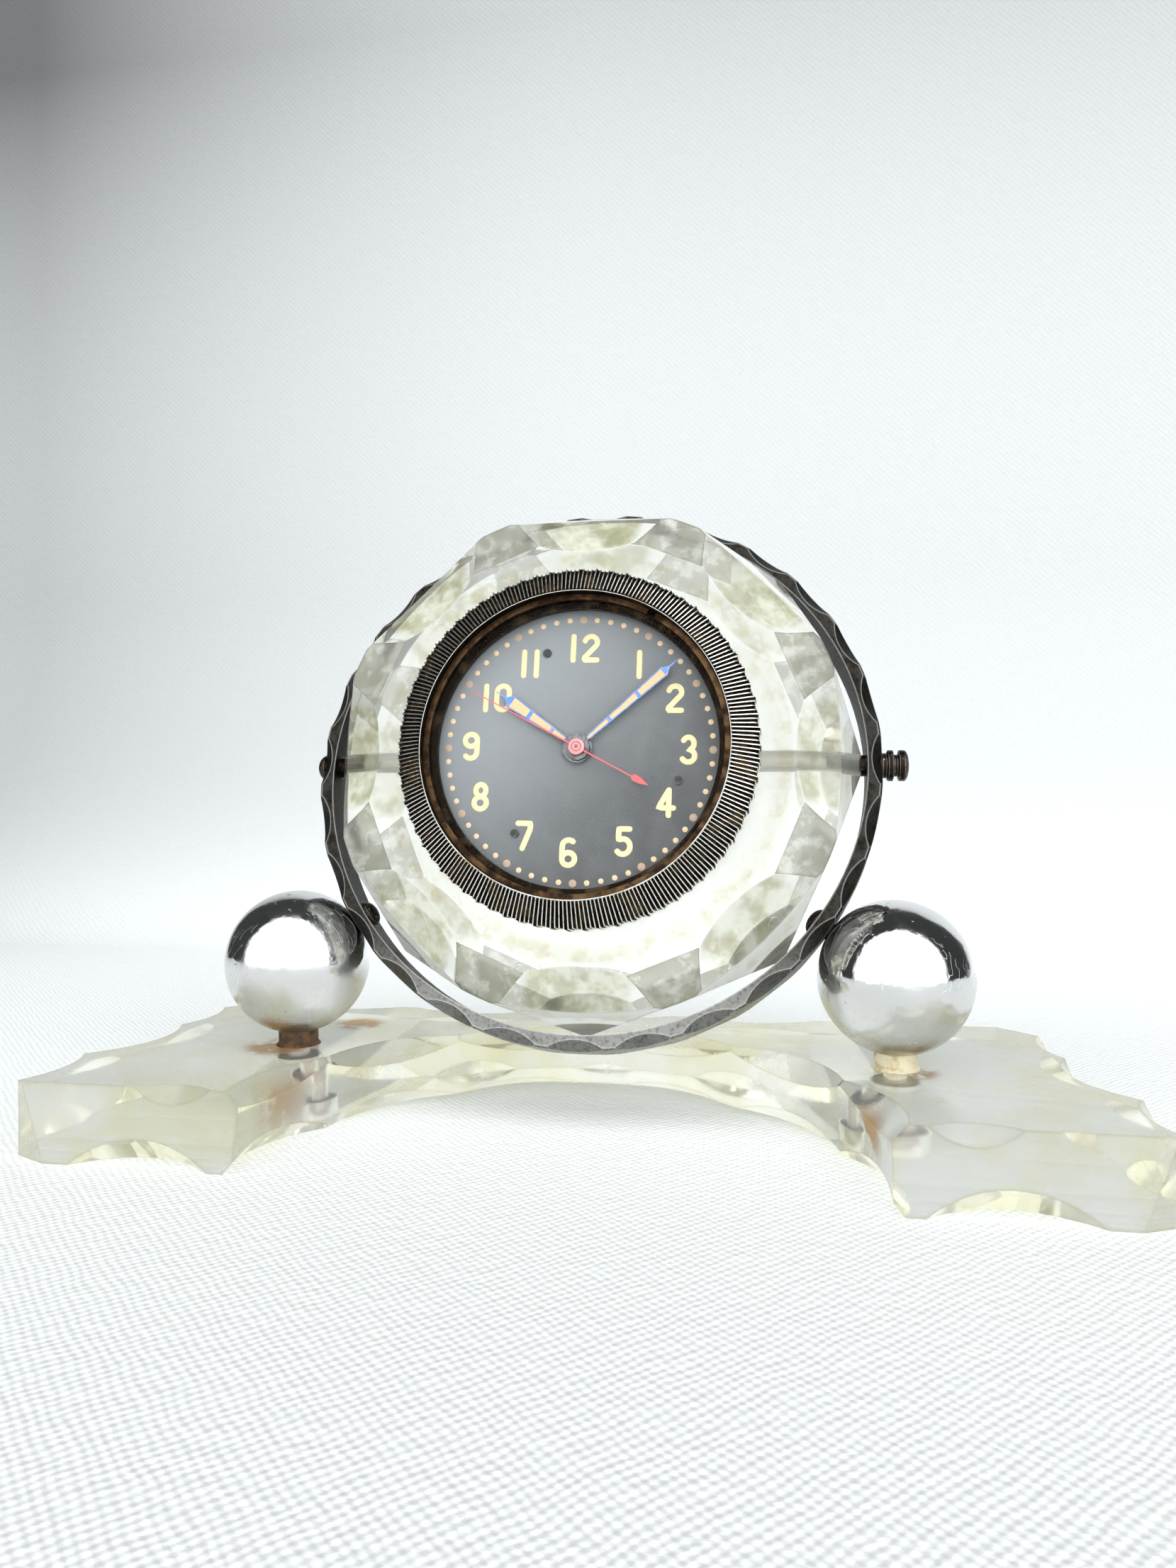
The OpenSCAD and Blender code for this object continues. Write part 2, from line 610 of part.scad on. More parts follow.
// Outer edge of the bezel, a round of shallow notches
module bezel_outline() polygon([for (i = [0 : bezel_notches - 1]) for (k = [0 : 3])
    polar(bezel_r - [0, 0.12, 0.5, 0.12][k], 360 / bezel_notches * (i + k / 4))]);
module bezel_solid() rotate_extrude($fn = 144) polygon([
    [skirt_in_r, bezel_back], [bezel_r - 0.8, bezel_back], [bezel_r, bezel_back + 0.8],
    [bezel_r, bezel_edge_w],
    [bezel_rim_r + 1.1, bezel_rim_w - 0.5], [bezel_rim_r + 0.9, bezel_rim_w], [bezel_rim_r, bezel_rim_w],
    [bezel_rim_r, ledge_top + glass_t + snap_t], [bezel_rim_r + snap_groove, ledge_top + glass_t + snap_t],
    [bezel_rim_r + snap_groove, ledge_top + glass_t], [bezel_rim_r, ledge_top + glass_t],
    [bezel_rim_r, ledge_top], [dial_view_r, ledge_top], [dial_view_r, ledge_bottom],
    [skirt_in_r, ledge_bottom]]);
module bezel() color([0.35, 0.3, 0.22])
    in_clock() intersection() {
        bezel_solid();
        translate([0, 0, bezel_back - over]) linear_extrude(bezel_rim_w - bezel_back + 2 * over)
            bezel_outline();
    }
module bezel_gear() color([0.7, 0.58, 0.3])
    in_clock() translate([0, 0, bezel_back]) linear_extrude(bezel_gear_t) difference() {
        circle(skirt_in_r - 0.02);
        polygon(tooth_points(bezel_n, bezel_m * (bezel_n / 2 + dedendum), bezel_m * (bezel_n / 2 - addendum),
            180 / bezel_n));
    }
module bezel_retainer() color([0.5, 0.48, 0.44])
    in_clock() disc(skirt_in_r - 0.4, [bezel_back + bezel_gear_t + 0.4,
        bezel_back + bezel_gear_t + 0.4 + retainer_w], neck_r + 0.02);
module glass() color([0.85, 0.9, 0.92, 0.25])
    in_clock() disc(glass_r, [ledge_top, ledge_top + glass_t]);
module glass_snap_ring() color([0.45, 0.3, 0.15])
    in_clock() difference() {
        disc(bezel_rim_r + snap_groove - 0.1,
            [ledge_top + glass_t + 0.02, ledge_top + glass_t + snap_t - 0.06], bezel_rim_r - 1);
        rotate(snap_gap_dir) translate([bezel_rim_r - 3, -bezel_rim_r * sin(snap_gap_angle / 2), ledge_top])
            cube([6, 2 * bezel_rim_r * sin(snap_gap_angle / 2), 4]);
    }

// Half width of a hand at a distance from the centre, growing evenly from its root to its shoulder
hand_root = 1.6;
hand_root_half = 0.42;
hand_neck_half = 0.2;
hand_tip_half = 0.05;
function hand_half(y, waist, shoulder) =
    hand_root_half + (waist - hand_root_half) * (y - hand_root) / (shoulder - hand_root);
function hand_side(len, waist, shoulder) =
    [[hand_root, hand_root_half], [shoulder, waist], [shoulder + (len - shoulder) * 0.36, hand_neck_half],
     [len, hand_tip_half]];
function mirrored(side) = concat([for (p = side) [p[1], p[0]]],
    [for (i = [len(side) - 1 : -1 : 0]) [-side[i][1], side[i][0]]]);
// The windows in a hand, between its boss, its cross-bars and its shoulder
module hand_windows(waist, shoulder, boss_r, bars, grow = 0) {
    stops = concat([boss_r + hand_edge_w - hand_bar_w / 2], bars, [shoulder - hand_edge_w + hand_bar_w / 2]);
    for (i = [0 : len(bars)]) {
        y0 = stops[i] + hand_bar_w / 2 - grow;
        y1 = stops[i + 1] - hand_bar_w / 2 + grow;
        h0 = hand_half(y0, waist, shoulder) - hand_edge_w + grow;
        h1 = hand_half(y1, waist, shoulder) - hand_edge_w + grow;
        polygon([[-h0, y0], [h0, y0], [h1, y1], [-h1, y1]]);
    }
}
module hand(length, waist, shoulder, boss_r, hole_r, bars) linear_extrude(hand_t) difference() {
    union() {
        polygon(mirrored(hand_side(length, waist, shoulder)));
        circle(boss_r);
    }
    circle(hole_r);
    hand_windows(waist, shoulder, boss_r, bars);
}
hour_bars = [5.8, 10.9];
minute_bars = [7.6, 14.4];
hour_boss_r = 2.7;
minute_boss_r = 2.3;
hour_pipe_r = 1.95;
cannon_pipe_r = 1.4;
module hour_hand() color([0.1, 0.18, 0.4])
    in_clock() translate([0, 0, hour_w]) rotate(-hour_angle)
        hand(hour_len, hour_waist, hour_shoulder, hour_boss_r, hour_pipe_r, hour_bars);
module hour_hand_inlay() color([0.85, 0.66, 0.45])
    in_clock() translate([0, 0, hour_w]) rotate(-hour_angle) linear_extrude(hand_t)
        hand_windows(hour_waist, hour_shoulder, hour_boss_r, hour_bars, -inlay_gap);
module minute_hand() color([0.1, 0.18, 0.4])
    in_clock() translate([0, 0, minute_w]) rotate(-minute_angle)
        hand(minute_len, minute_waist, minute_shoulder, minute_boss_r, cannon_pipe_r, minute_bars);
module minute_hand_inlay() color([0.85, 0.66, 0.45])
    in_clock() translate([0, 0, minute_w]) rotate(-minute_angle) linear_extrude(hand_t)
        hand_windows(minute_waist, minute_shoulder, minute_boss_r, minute_bars, -inlay_gap);
module seconds_hand() color([0.55, 0.18, 0.15])
    in_clock() translate([0, 0, seconds_w]) rotate(-seconds_angle) linear_extrude(0.2) difference() {
        union() {
            polygon([[-0.14, 0], [0.14, 0], [0.07, seconds_len], [-0.07, seconds_len]]);
            polygon([[-0.14, 0], [-0.1, 3.4 - seconds_tail], [-0.6, 3.1 - seconds_tail],
                     [-0.5, 1.6 - seconds_tail], [0, -seconds_tail], [0.5, 1.6 - seconds_tail],
                     [0.6, 3.1 - seconds_tail], [0.1, 3.4 - seconds_tail], [0.14, 0]]);
            circle(1.2);
        }
        circle(arbor_r);
    }
module seconds_hub() color([0.75, 0.42, 0.38])
    in_clock() translate([0, 0, seconds_w + 0.2]) rotate_extrude() polygon([
        [0, 0.05], [arbor_r, 0.05], [arbor_r, 0], [1.45, 0], [1.45, 0.2], [1.1, hub_top - seconds_w - 0.2],
        [0, hub_top - seconds_w - 0.2]]);

// Holes for the train's arbors, shared by the plate and the bridge
module arbor_holes(lv, list)
    for (p = list) translate([p[0], p[1], lv[0] - over])
        cylinder(r = arbor_r + run_gap, h = lv[1] - lv[0] + 2 * over);

module main_plate() color([0.75, 0.66, 0.4])
    in_clock() difference() {
        disc(plate_r, [plate_back, plate_front]);
        arbor_holes([plate_back, plate_front],
            [barrel_at, third_at, fourth_at, escape_at, fork_at, balance_at, wind_at]);
        translate([0, 0, plate_back - over])
            cylinder(r = centre_arbor_r + run_gap, h = plate_front - plate_back + 2 * over);
        translate([minute_wheel_at[0], minute_wheel_at[1], plate_back - over])
            cylinder(r = post_r, h = plate_front - plate_back + 2 * over);
        for (a = pillar_dirs) rotate(a) translate([pillar_ring, 0, plate_back - over])
            cylinder(r = pillar_screw_r, h = 4);
        for (a = dial_screw_dirs) rotate(a) translate([dial_screw_ring, 0, plate_front - 1.3])
            cylinder(r = 0.5, h = 2);
    }
module train_bridge() color([0.78, 0.7, 0.46])
    in_clock() difference() {
        disc(bridge_r, [bridge_back, bridge_front]);
        arbor_holes([bridge_back, bridge_front], [barrel_at, third_at, fourth_at, escape_at, fork_at,
            balance_at, [0, 0]]);
        for (a = pillar_dirs) rotate(a) translate([pillar_ring, 0, bridge_back - over])
            cylinder(r = pillar_screw_r, h = 4);
        // window that shows the balance
        translate([balance_at[0], balance_at[1], bridge_back - over]) linear_extrude(4) difference() {
            circle(balance_r);
            circle(1.6);
            for (a = [0, 90]) rotate(balance_dir + 45 + a) square([2 * balance_r, 1.8], center = true);
        }
    }
module bridge_pillars() color([0.72, 0.62, 0.36])
    in_clock() for (a = pillar_dirs) rotate(a) translate([pillar_ring, 0, bridge_front]) difference() {
        cylinder(r = pillar_r, h = plate_back - bridge_front);
        translate([0, 0, -over]) cylinder(r = pillar_screw_r, h = plate_back - bridge_front + 2 * over);
    }
module bridge_screws() color([0.3, 0.35, 0.5])
    in_clock() for (a = pillar_dirs) rotate(a) translate([pillar_ring, 0, bridge_back]) {
        difference() {
            translate([0, 0, -0.8]) cylinder(r = 1.5, h = 0.8);
            translate([-2, -0.15, -0.8 - over]) cube([4, 0.3, 0.4 + over]);
        }
        translate([0, 0, -eps]) cylinder(r = pillar_screw_r, h = plate_back - bridge_back + 1.5);
    }

module winding_pinion() color([0.62, 0.6, 0.58])
    in_clock() translate([wind_at[0], wind_at[1], 0]) {
        pinion(wind_top_n, bezel_m, [bezel_back + 0.05, bezel_back + bezel_gear_t], wind_phase);
        pinion(wind_low_n, ratchet_m, [ratchet_lv[0], ratchet_lv[1] - 0.05], 0);
        disc(arbor_r, [ratchet_lv[0] - 0.4, bezel_back + 0.1]);
        disc(1.1, [plate_front + 0.3, bezel_back + 0.1]);
    }
module ratchet_wheel() color([0.7, 0.7, 0.72])
    in_clock() translate([barrel_at[0], barrel_at[1], 0]) {
        pinion(ratchet_n, ratchet_m, ratchet_lv, ratchet_phase);
        disc(1.3, [barrel_lv[1] + 0.1, ratchet_lv[0] + eps]);
        disc(barrel_arbor_r, [barrel_lv[0] - 0.4, ratchet_lv[0]]);
        disc(arbor_r, [bridge_back, plate_front]);
    }
module barrel() color([0.74, 0.6, 0.3])
    in_clock() translate([barrel_at[0], barrel_at[1], 0]) difference() {
        union() {
            disc(barrel_in_r + 0.5, barrel_lv);
            pinion(great_n, great_m, great_lv, great_phase);
        }
        disc(barrel_in_r, [barrel_lv[0] + 0.7, barrel_lv[1] - 0.7]);
        disc(barrel_arbor_r + run_gap, [barrel_lv[0] - over, barrel_lv[1] + over]);
    }
// A flat spiral strip, wound out from the arbor
spring_turns = 9;
spiral_steps = 16;
function spiral(r0, r1, turns, half_t) =
    let(n = turns * spiral_steps)
    concat([for (i = [0 : n]) polar(r0 + (r1 - r0) * i / n + half_t, 360 / spiral_steps * i)],
           [for (i = [n : -1 : 0]) polar(r0 + (r1 - r0) * i / n - half_t, 360 / spiral_steps * i)]);
module mainspring() color([0.4, 0.42, 0.5])
    in_clock() translate([barrel_at[0], barrel_at[1], barrel_lv[0] + 1])
        linear_extrude(barrel_lv[1] - barrel_lv[0] - 2)
            polygon(spiral(barrel_arbor_r + 0.22, barrel_in_r - 0.16, spring_turns, 0.12));

module centre_wheel() color([0.76, 0.62, 0.32])
    in_clock() {
        wheel(centre_n, centre_m, centre_lv, centre_phase, centre_hole_r);
        pinion(centre_pinion_n, great_m, centre_pinion_lv, 0, centre_hole_r);
        disc(centre_arbor_r, centre_arbor_lv, arbor_r + run_gap);
    }
module cannon_pinion() color([0.6, 0.58, 0.55])
    in_clock() {
        pinion(cannon_n, cannon_m, cannon_lv, 0, centre_arbor_r);
        disc(cannon_pipe_r - 0.2, [cannon_lv[0], cannon_lv[1] + 0.1], centre_arbor_r);
        disc(cannon_pipe_r, [cannon_lv[1] + 0.05, minute_w + hand_t + 0.05], centre_arbor_r);
    }
module minute_wheel() color([0.76, 0.62, 0.32])
    in_clock() translate([minute_wheel_at[0], minute_wheel_at[1], 0]) {
        wheel(minute_n, cannon_m, minute_lv, minute_wheel_phase, post_r + run_gap, 4);
        pinion(minute_pinion_n, hour_m, minute_pinion_lv, minute_pinion_phase, post_r + run_gap);
        disc(post_r + 0.3, [minute_lv[0], minute_pinion_lv[1]], post_r + run_gap);
    }
module minute_wheel_post() color([0.5, 0.5, 0.5])
    in_clock() translate([minute_wheel_at[0], minute_wheel_at[1], 0]) disc(post_r, [plate_back, post_top]);
module hour_wheel() color([0.76, 0.62, 0.32])
    in_clock() {
        wheel(hour_n, hour_m, hour_lv, 0, cannon_pipe_r + run_gap, 4);
        disc(hour_pipe_r, [hour_lv[0], hour_w + hand_t + 0.05], cannon_pipe_r + run_gap);
    }
module third_wheel() color([0.76, 0.62, 0.32])
    in_clock() translate([third_at[0], third_at[1], 0]) {
        wheel(third_n, third_m, third_lv, 0, 0.3);
        pinion(pinion_n, centre_m, third_pinion_lv, third_pinion_phase);
        disc(arbor_r, [bridge_back, plate_front]);
    }
module fourth_wheel() color([0.76, 0.62, 0.32])
    in_clock() translate([fourth_at[0], fourth_at[1], 0]) {
        wheel(fourth_n, fourth_m, fourth_lv, 0, 0.3);
        pinion(pinion_n, third_m, small_pinion_lv, fourth_pinion_phase);
        disc(arbor_r, [bridge_back, plate_front]);
    }
module seconds_arbor() color([0.6, 0.6, 0.62])
    in_clock() {
        pinion(pinion_n, third_m, small_pinion_lv, seconds_pinion_phase);
        disc(arbor_r, [bridge_back, seconds_w + 0.25]);
    }
// Escape wheel with pointed, forward-leaning teeth
escape_phase = 8;
module escape_wheel() color([0.7, 0.7, 0.7])
    in_clock() translate([escape_at[0], escape_at[1], 0]) {
        translate([0, 0, escape_lv[0]]) linear_extrude(wheel_t) difference() {
            polygon([for (i = [0 : escape_n - 1])
                     for (k = [[0, 2.5], [0.55, escape_tip_r], [0.64, escape_tip_r], [0.7, 2.5]])
                polar(k[1], escape_phase + 360 / escape_n * (i + k[0]))]);
            crossings(2.1, 0.9, 4, 0.4);
        }
        pinion(escape_pinion_n, fourth_m, escape_pinion_lv, escape_pinion_phase);
        disc(arbor_r, [bridge_back, escape_pinion_lv[0] - 0.3]);
        disc(escape_neck_r, [escape_pinion_lv[0] - 0.4, escape_pinion_lv[1] + 0.4]);
        disc(arbor_r, [escape_pinion_lv[1] + 0.3, plate_front]);
    }
// Pallet fork: two pallet arms round the escape wheel, a notched lever towards the balance
module pallet_fork() color([0.66, 0.66, 0.68])
    in_clock() translate([fork_at[0], fork_at[1], 0]) {
        translate([0, 0, escape_lv[0]]) linear_extrude(wheel_t) difference() {
            union() {
                circle(1);
                for (side = [-1, 1]) {
                    rotate(fork_dir + 180 + side * 62) translate([0, -0.3]) square([2.9, 0.6]);
                    rotate(fork_dir + 180 + side * 62) translate([2.5, side > 0 ? -pallet_reach : 0])
                        square([0.5, pallet_reach]);
                }
                rotate(balance_dir) translate([0, -0.3]) square([balance_off - 1.5, 0.6]);
                rotate(balance_dir) translate([balance_off - 1.9, -0.8]) square([0.8, 1.6]);
            }
            circle(arbor_r - 0.05);
            rotate(balance_dir) translate([balance_off - 1.6, -0.28]) square([1, 0.56]);
        }
        disc(arbor_r, [bridge_back, plate_front]);
    }
module balance_wheel() color([0.74, 0.62, 0.34])
    in_clock() translate([balance_at[0], balance_at[1], 0]) {
        translate([0, 0, balance_lv[0]]) linear_extrude(balance_lv[1] - balance_lv[0]) difference() {
            circle(balance_r);
            crossings(balance_r - 0.8, 1, 3, 0.7);
            circle(0.3);
        }
        disc(0.8, [escape_lv[0], escape_lv[1]]);
        disc(arbor_r, [bridge_back, plate_front]);
    }
module hairspring() color([0.35, 0.4, 0.55])
    in_clock() translate([balance_at[0], balance_at[1], hairspring_lv[0]])
        linear_extrude(hairspring_lv[1] - hairspring_lv[0]) polygon(spiral(0.75, 3.6, 8, 0.05));
module hairspring_stud() color([0.7, 0.6, 0.4])
    in_clock() translate([balance_at[0] + 3.9, balance_at[1], 0])
        disc(0.22, [bridge_front, hairspring_lv[1]]);

base_plate();
translate([-ball_x, 0, 0]) ball_collar();  // ball_collar_left
translate([ball_x, 0, 0]) ball_collar();  // ball_collar_right
translate([-ball_x, 0, 0]) ball(-1);  // ball_left
translate([ball_x, 0, 0]) ball(1);  // ball_right
translate([-ball_x, 0, 0]) ball_stud();  // ball_stud_left
translate([ball_x, 0, 0]) ball_stud();  // ball_stud_right
ring();
ring_screw(-1);  // ring_screw_left
ring_screw(1);  // ring_screw_right
pivot_screw_left();
pivot_thumb_screw();
drum();
clock_case();
back_cover();
back_cover_screws();
dial();
dial_screws();
bezel();
bezel_gear();
bezel_retainer();
glass();
glass_snap_ring();
hour_hand();
hour_hand_inlay();
minute_hand();
minute_hand_inlay();
seconds_hand();
seconds_hub();
main_plate();
train_bridge();
bridge_pillars();
bridge_screws();
winding_pinion();
ratchet_wheel();
barrel();
mainspring();
centre_wheel();
cannon_pinion();
minute_wheel();
minute_wheel_post();
hour_wheel();
third_wheel();
fourth_wheel();
seconds_arbor();
escape_wheel();
pallet_fork();
balance_wheel();
hairspring();
hairspring_stud();
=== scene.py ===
import json
import math

import bmesh
import bpy
import numpy as np
from bpy.props import FloatProperty, FloatVectorProperty, IntProperty, PointerProperty
from bpy.types import NodeSocket, Operator, Panel, PropertyGroup, Scene
from mathutils import Matrix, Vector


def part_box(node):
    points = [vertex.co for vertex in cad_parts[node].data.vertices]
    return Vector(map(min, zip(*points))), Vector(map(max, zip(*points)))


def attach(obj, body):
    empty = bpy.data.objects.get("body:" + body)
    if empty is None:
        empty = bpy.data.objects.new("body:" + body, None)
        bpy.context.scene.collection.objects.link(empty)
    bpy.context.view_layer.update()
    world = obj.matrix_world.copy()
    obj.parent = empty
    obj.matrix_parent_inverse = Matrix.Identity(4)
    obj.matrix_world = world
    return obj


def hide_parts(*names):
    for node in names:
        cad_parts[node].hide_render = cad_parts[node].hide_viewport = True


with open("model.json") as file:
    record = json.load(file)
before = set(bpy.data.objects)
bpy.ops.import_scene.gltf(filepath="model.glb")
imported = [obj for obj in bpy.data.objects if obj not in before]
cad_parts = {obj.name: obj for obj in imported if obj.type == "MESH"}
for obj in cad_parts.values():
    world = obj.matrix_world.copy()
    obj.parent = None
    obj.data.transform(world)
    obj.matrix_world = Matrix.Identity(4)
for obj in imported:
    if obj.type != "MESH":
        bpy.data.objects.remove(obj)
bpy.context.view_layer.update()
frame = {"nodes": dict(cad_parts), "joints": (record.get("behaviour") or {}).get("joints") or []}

bl_info = {
    "name": "Dashboard Clock Finish",
    "version": (1, 0, 0),
    "blender": (4, 5, 0),
    "location": "View3D > Sidebar > Clock",
    "description": "Finishes a bezel-wound clock on a clear stand, around its packed construction",
    "category": "Object",
}

MM = 0.001
BEZEL_JOINT = next(joint for joint in frame["joints"] if joint["name"] == "bezel_turn")

# The clock's own axes: ACROSS to three o'clock, UP to twelve, OUT of the dial
DIAL_TURN = math.radians(0.8)
CENTRE = np.array(BEZEL_JOINT["pos_m"])
OUT = -np.array(BEZEL_JOINT["axis"])
LEVEL = np.array([1.0, 0.0, 0.0])
RISE = np.cross(OUT, LEVEL)
ACROSS = math.cos(DIAL_TURN) * LEVEL - math.sin(DIAL_TURN) * RISE
UP = math.sin(DIAL_TURN) * LEVEL + math.cos(DIAL_TURN) * RISE

# Each hour's angle from twelve and the distance of its numeral's middle, in millimetres
NUMERAL_PLACES = ((34.0, 18.9), (61.4, 19.6), (90.0, 19.8), (120.7, 18.7), (152.0, 18.8), (183.0, 18.8),
                  (210.0, 18.4), (243.0, 19.8), (271.0, 20.0), (300.6, 18.6), (329.0, 18.6), (0.0, 18.8))

# Rust in the base plate: middle and reach in millimetres
STAINS = ((-58.5, -3.0, 12.8, 8.5), (-42.5, -22.0, 9.0, 12.0), (-50.0, 17.0, 12.0, 7.0),
          (58.0, -3.0, 12.8, 6.0), (46.0, -21.0, 8.0, 8.0))

# The depth to which the dial's paint sinks into it, in millimetres
PAINT_SINK = 0.02

# The angle in degrees past which an edge of the paint stays sharp
PAINT_SHARP = 60

# Indices of refraction of the plastic and of the thin flat glass
ACRYLIC_IOR = 1.49
GLASS_IOR = 1.12

# The pale colour of scratched and cut plastic
FROST = (0.99, 0.99, 0.97)

# Half the width in metres of the cloth floor, which reaches as far to the front, and of the cloth wall
FLOOR_HALF = 1.6
WALL_HALF = 0.44

# The window's direction from the object
WINDOW_WAY = (0.05, -0.978, 0.20)


# Kinds of settings

def number(name, default, description, **kind):
    return FloatProperty(name=name, description=description, default=default, **kind)


def size_mm(name, default, description):
    return number(name, default, f"{description}, in millimetres")


def length(name, default, description):
    return number(name, default, description, unit="LENGTH")


def degrees(name, default, description):
    return number(name, math.radians(default), description, subtype="ANGLE")


def colour(name, default, description):
    return FloatVectorProperty(name=name, description=description, default=default, subtype="COLOR")


# Sizes and colours that a user would change

class StudioSettings(PropertyGroup):
    camera_at: FloatVectorProperty(name="Camera", description="Where the camera stands",
                                   default=(0.0338, -0.19376, 0.06417), unit="LENGTH")
    camera_yaw: degrees("Yaw", 9.58, "Turn of the view about the vertical")
    camera_pitch: degrees("Pitch", 0.45, "Tilt of the view below the horizon")
    camera_roll: degrees("Roll", -0.19, "Turn of the view about its own axis")
    focal_length: size_mm("Focal length", 32.775, "For a sensor 36 mm wide")
    wall_distance: length("Wall distance", 0.34, "From the object back to the cloth wall")
    wall_height: length("Wall height", 0.50, "Height of the cloth wall")
    sweep: length("Sweep", 0.16, "Radius of the curve between floor and wall")
    window_light: number("Window light", 2.4, "Brightness of the window in front")
    window_width: degrees("Window width", 69, "Half the angle that the window fills")
    room_light: number("Room light", 0.05, "Brightness of the dark room around")
    plastic_fill: number("Plastic fill", 0.50, "Light that the room lends to clear plastic")
    floor_cloth: colour("Floor cloth", (0.955, 0.975, 0.97), "Colour of the cloth where it lies flat")
    # Painted shade: the hanging cloth is painted greyer than the same cloth lying flat, to offset the
    # window's stronger light on it
    shaded_wall_cloth: colour("Wall cloth", (0.56, 0.575, 0.575), "Colour of the cloth where it hangs")
    weave_pitch: length("Weave pitch", 0.0017, "Distance between the floor cloth's threads")


class DialSizes(PropertyGroup):
    numeral_height: size_mm("Numeral height", 5.5, "Height of a numeral")
    stroke: number("Stroke", 0.185, "Width of a numeral's stroke, in shares of its height")
    paint: size_mm("Paint", 0.09, "Thickness of the numerals' paint")
    dot_ring: size_mm("Dot ring", 24.2, "Radius to the minute dots")
    minute_dot: size_mm("Minute dot", 1.08, "Diameter of a minute dot")
    hour_dot: size_mm("Hour dot", 1.5, "Diameter of an hour dot")
    dial_front: size_mm("Dial level", 17.2, "Front of the dial along the axis")


class BezelSizes(PropertyGroup):
    ribs: IntProperty(name="Ribs", description="Number of ribs on the conical face", default=258)
    rib_depth: size_mm("Rib depth", 0.34, "Depth of the grooves")
    land: number("Land", 0.30, "Width of a rib's top, in shares of the pitch")
    notches: IntProperty(name="Notches", description="Number of scallops round the edge", default=72)
    notch_depth: size_mm("Notch depth", 0.45, "Depth of the scallops")
    outer_r: size_mm("Outer radius", 32.7, "Outer radius")
    rim_r: size_mm("Rim radius", 27.42, "Radius inside the bright rim")
    edge_w: size_mm("Edge level", 21.6, "Level of the cone's outer edge")
    rim_w: size_mm("Rim level", 24.2, "Level of the bright rim")
    back_w: size_mm("Back level", 15.0, "Level of the back edge")


class FinishColours(PropertyGroup):
    acrylic: colour("Acrylic", (0.97, 0.955, 0.80), "Colour of the clear plastic's depth")
    base_milk: colour("Base haze", (0.90, 0.87, 0.64), "Cloudy cream of the base plate")
    drum_milk: colour("Drum haze", (0.80, 0.805, 0.765), "Cloudy grey of the drum")
    cream: colour("Cream", (0.62, 0.53, 0.29), "Numerals' paint")
    minute_dots: colour("Minute dots", (0.64, 0.47, 0.29), "Tanned paint of the minute dots")
    hour_dots: colour("Hour dots", (0.36, 0.26, 0.20), "Browned paint of the hour dots")
    dial: colour("Dial", (0.085, 0.092, 0.096), "Dial's enamel")
    peach: colour("Peach", (0.70, 0.39, 0.21), "Fill of the hands")
    blue: colour("Blue", (0.10, 0.20, 0.48), "Blued steel of the hands")
    red: colour("Red", (0.60, 0.08, 0.09), "Seconds hand")
    hub: colour("Hub", (0.72, 0.26, 0.26), "Hub of the seconds hand")
    rust: colour("Rust", (0.48, 0.19, 0.02), "Stains in the plastic")


class ClockSettings(PropertyGroup):
    studio: PointerProperty(type=StudioSettings)
    dial: PointerProperty(type=DialSizes)
    bezel: PointerProperty(type=BezelSizes)
    colours: PointerProperty(type=FinishColours)


# Meshes worked out with numpy

def to_frame(points):
    """Frame metres of places in the clock's own axes: centre + x * ACROSS + y * UP + w * OUT, in mm."""
    x, y, w = np.moveaxis(points * MM, -1, 0)[..., None]
    return CENTRE + x * ACROSS + y * UP + w * OUT


def grid_faces(nu, nv, wrap_u=False, wrap_v=False):
    """Quads between neighbours (i, j) of a grid of nu by nv points: i+1 and j+1 wrap round where asked."""
    i, j = np.meshgrid(np.arange(nu if wrap_u else nu - 1), np.arange(nv if wrap_v else nv - 1),
                       indexing="ij")
    i2, j2 = (i + 1) % nu, (j + 1) % nv
    return np.stack([i * nv + j, i2 * nv + j, i2 * nv + j2, i * nv + j2], -1).reshape(-1, 4)


def in_scene(name, data):
    """A new object in the scene with this mesh or camera."""
    thing = bpy.data.objects.new(name, data)
    bpy.context.scene.collection.objects.link(thing)
    return thing


def new_piece(name, points, faces, body, material, sharp_past=35, groove_patina_and_shade=None):
    """A closed mesh of these points and faces: doubles merged, faces turned outwards, sharp past an angle
    in degrees. The mask of groove patina and painted shade, where given, is kept for the material."""
    mesh = bpy.data.meshes.new(name)
    mesh.from_pydata(points.reshape(-1, 3).tolist(), [], faces.tolist())
    if groove_patina_and_shade is not None:
        heights = mesh.attributes.new("groove_patina_and_shade", "FLOAT", "POINT").data
        heights.foreach_set("value", groove_patina_and_shade.astype(np.float32).ravel())
    work = bmesh.new()
    work.from_mesh(mesh)
    bmesh.ops.remove_doubles(work, verts=work.verts, dist=1e-7)
    bmesh.ops.recalc_face_normals(work, faces=work.faces)
    work.to_mesh(mesh)
    work.free()
    mesh.shade_smooth()
    mesh.set_sharp_from_angle(angle=math.radians(sharp_past))
    mesh.materials.append(material)
    piece = in_scene(name, mesh)
    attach(piece, body)
    return piece


def domes(centres, radius, level, height, steps=4, sides=20):
    """Low domes on a plane: height * (1 - t^2) at a share t of the radius, closed by a flat underside."""
    t = np.append(np.linspace(0, 1, steps + 1), 0.0)
    rise = height * (1 - t ** 2)
    rise[-2:] = -PAINT_SINK
    a = np.linspace(0, 2 * np.pi, sides, endpoint=False)
    x = centres[:, 0, None, None] + radius * t[:, None] * np.cos(a)
    y = centres[:, 1, None, None] + radius * t[:, None] * np.sin(a)
    w = level + rise[:, None] + np.zeros_like(x)
    one = grid_faces(len(t), sides, wrap_v=True)
    firsts = np.arange(len(centres)) * len(t) * sides
    return np.stack([x, y, w], -1).reshape(-1, 3), (one + firsts[:, None, None]).reshape(-1, 4)


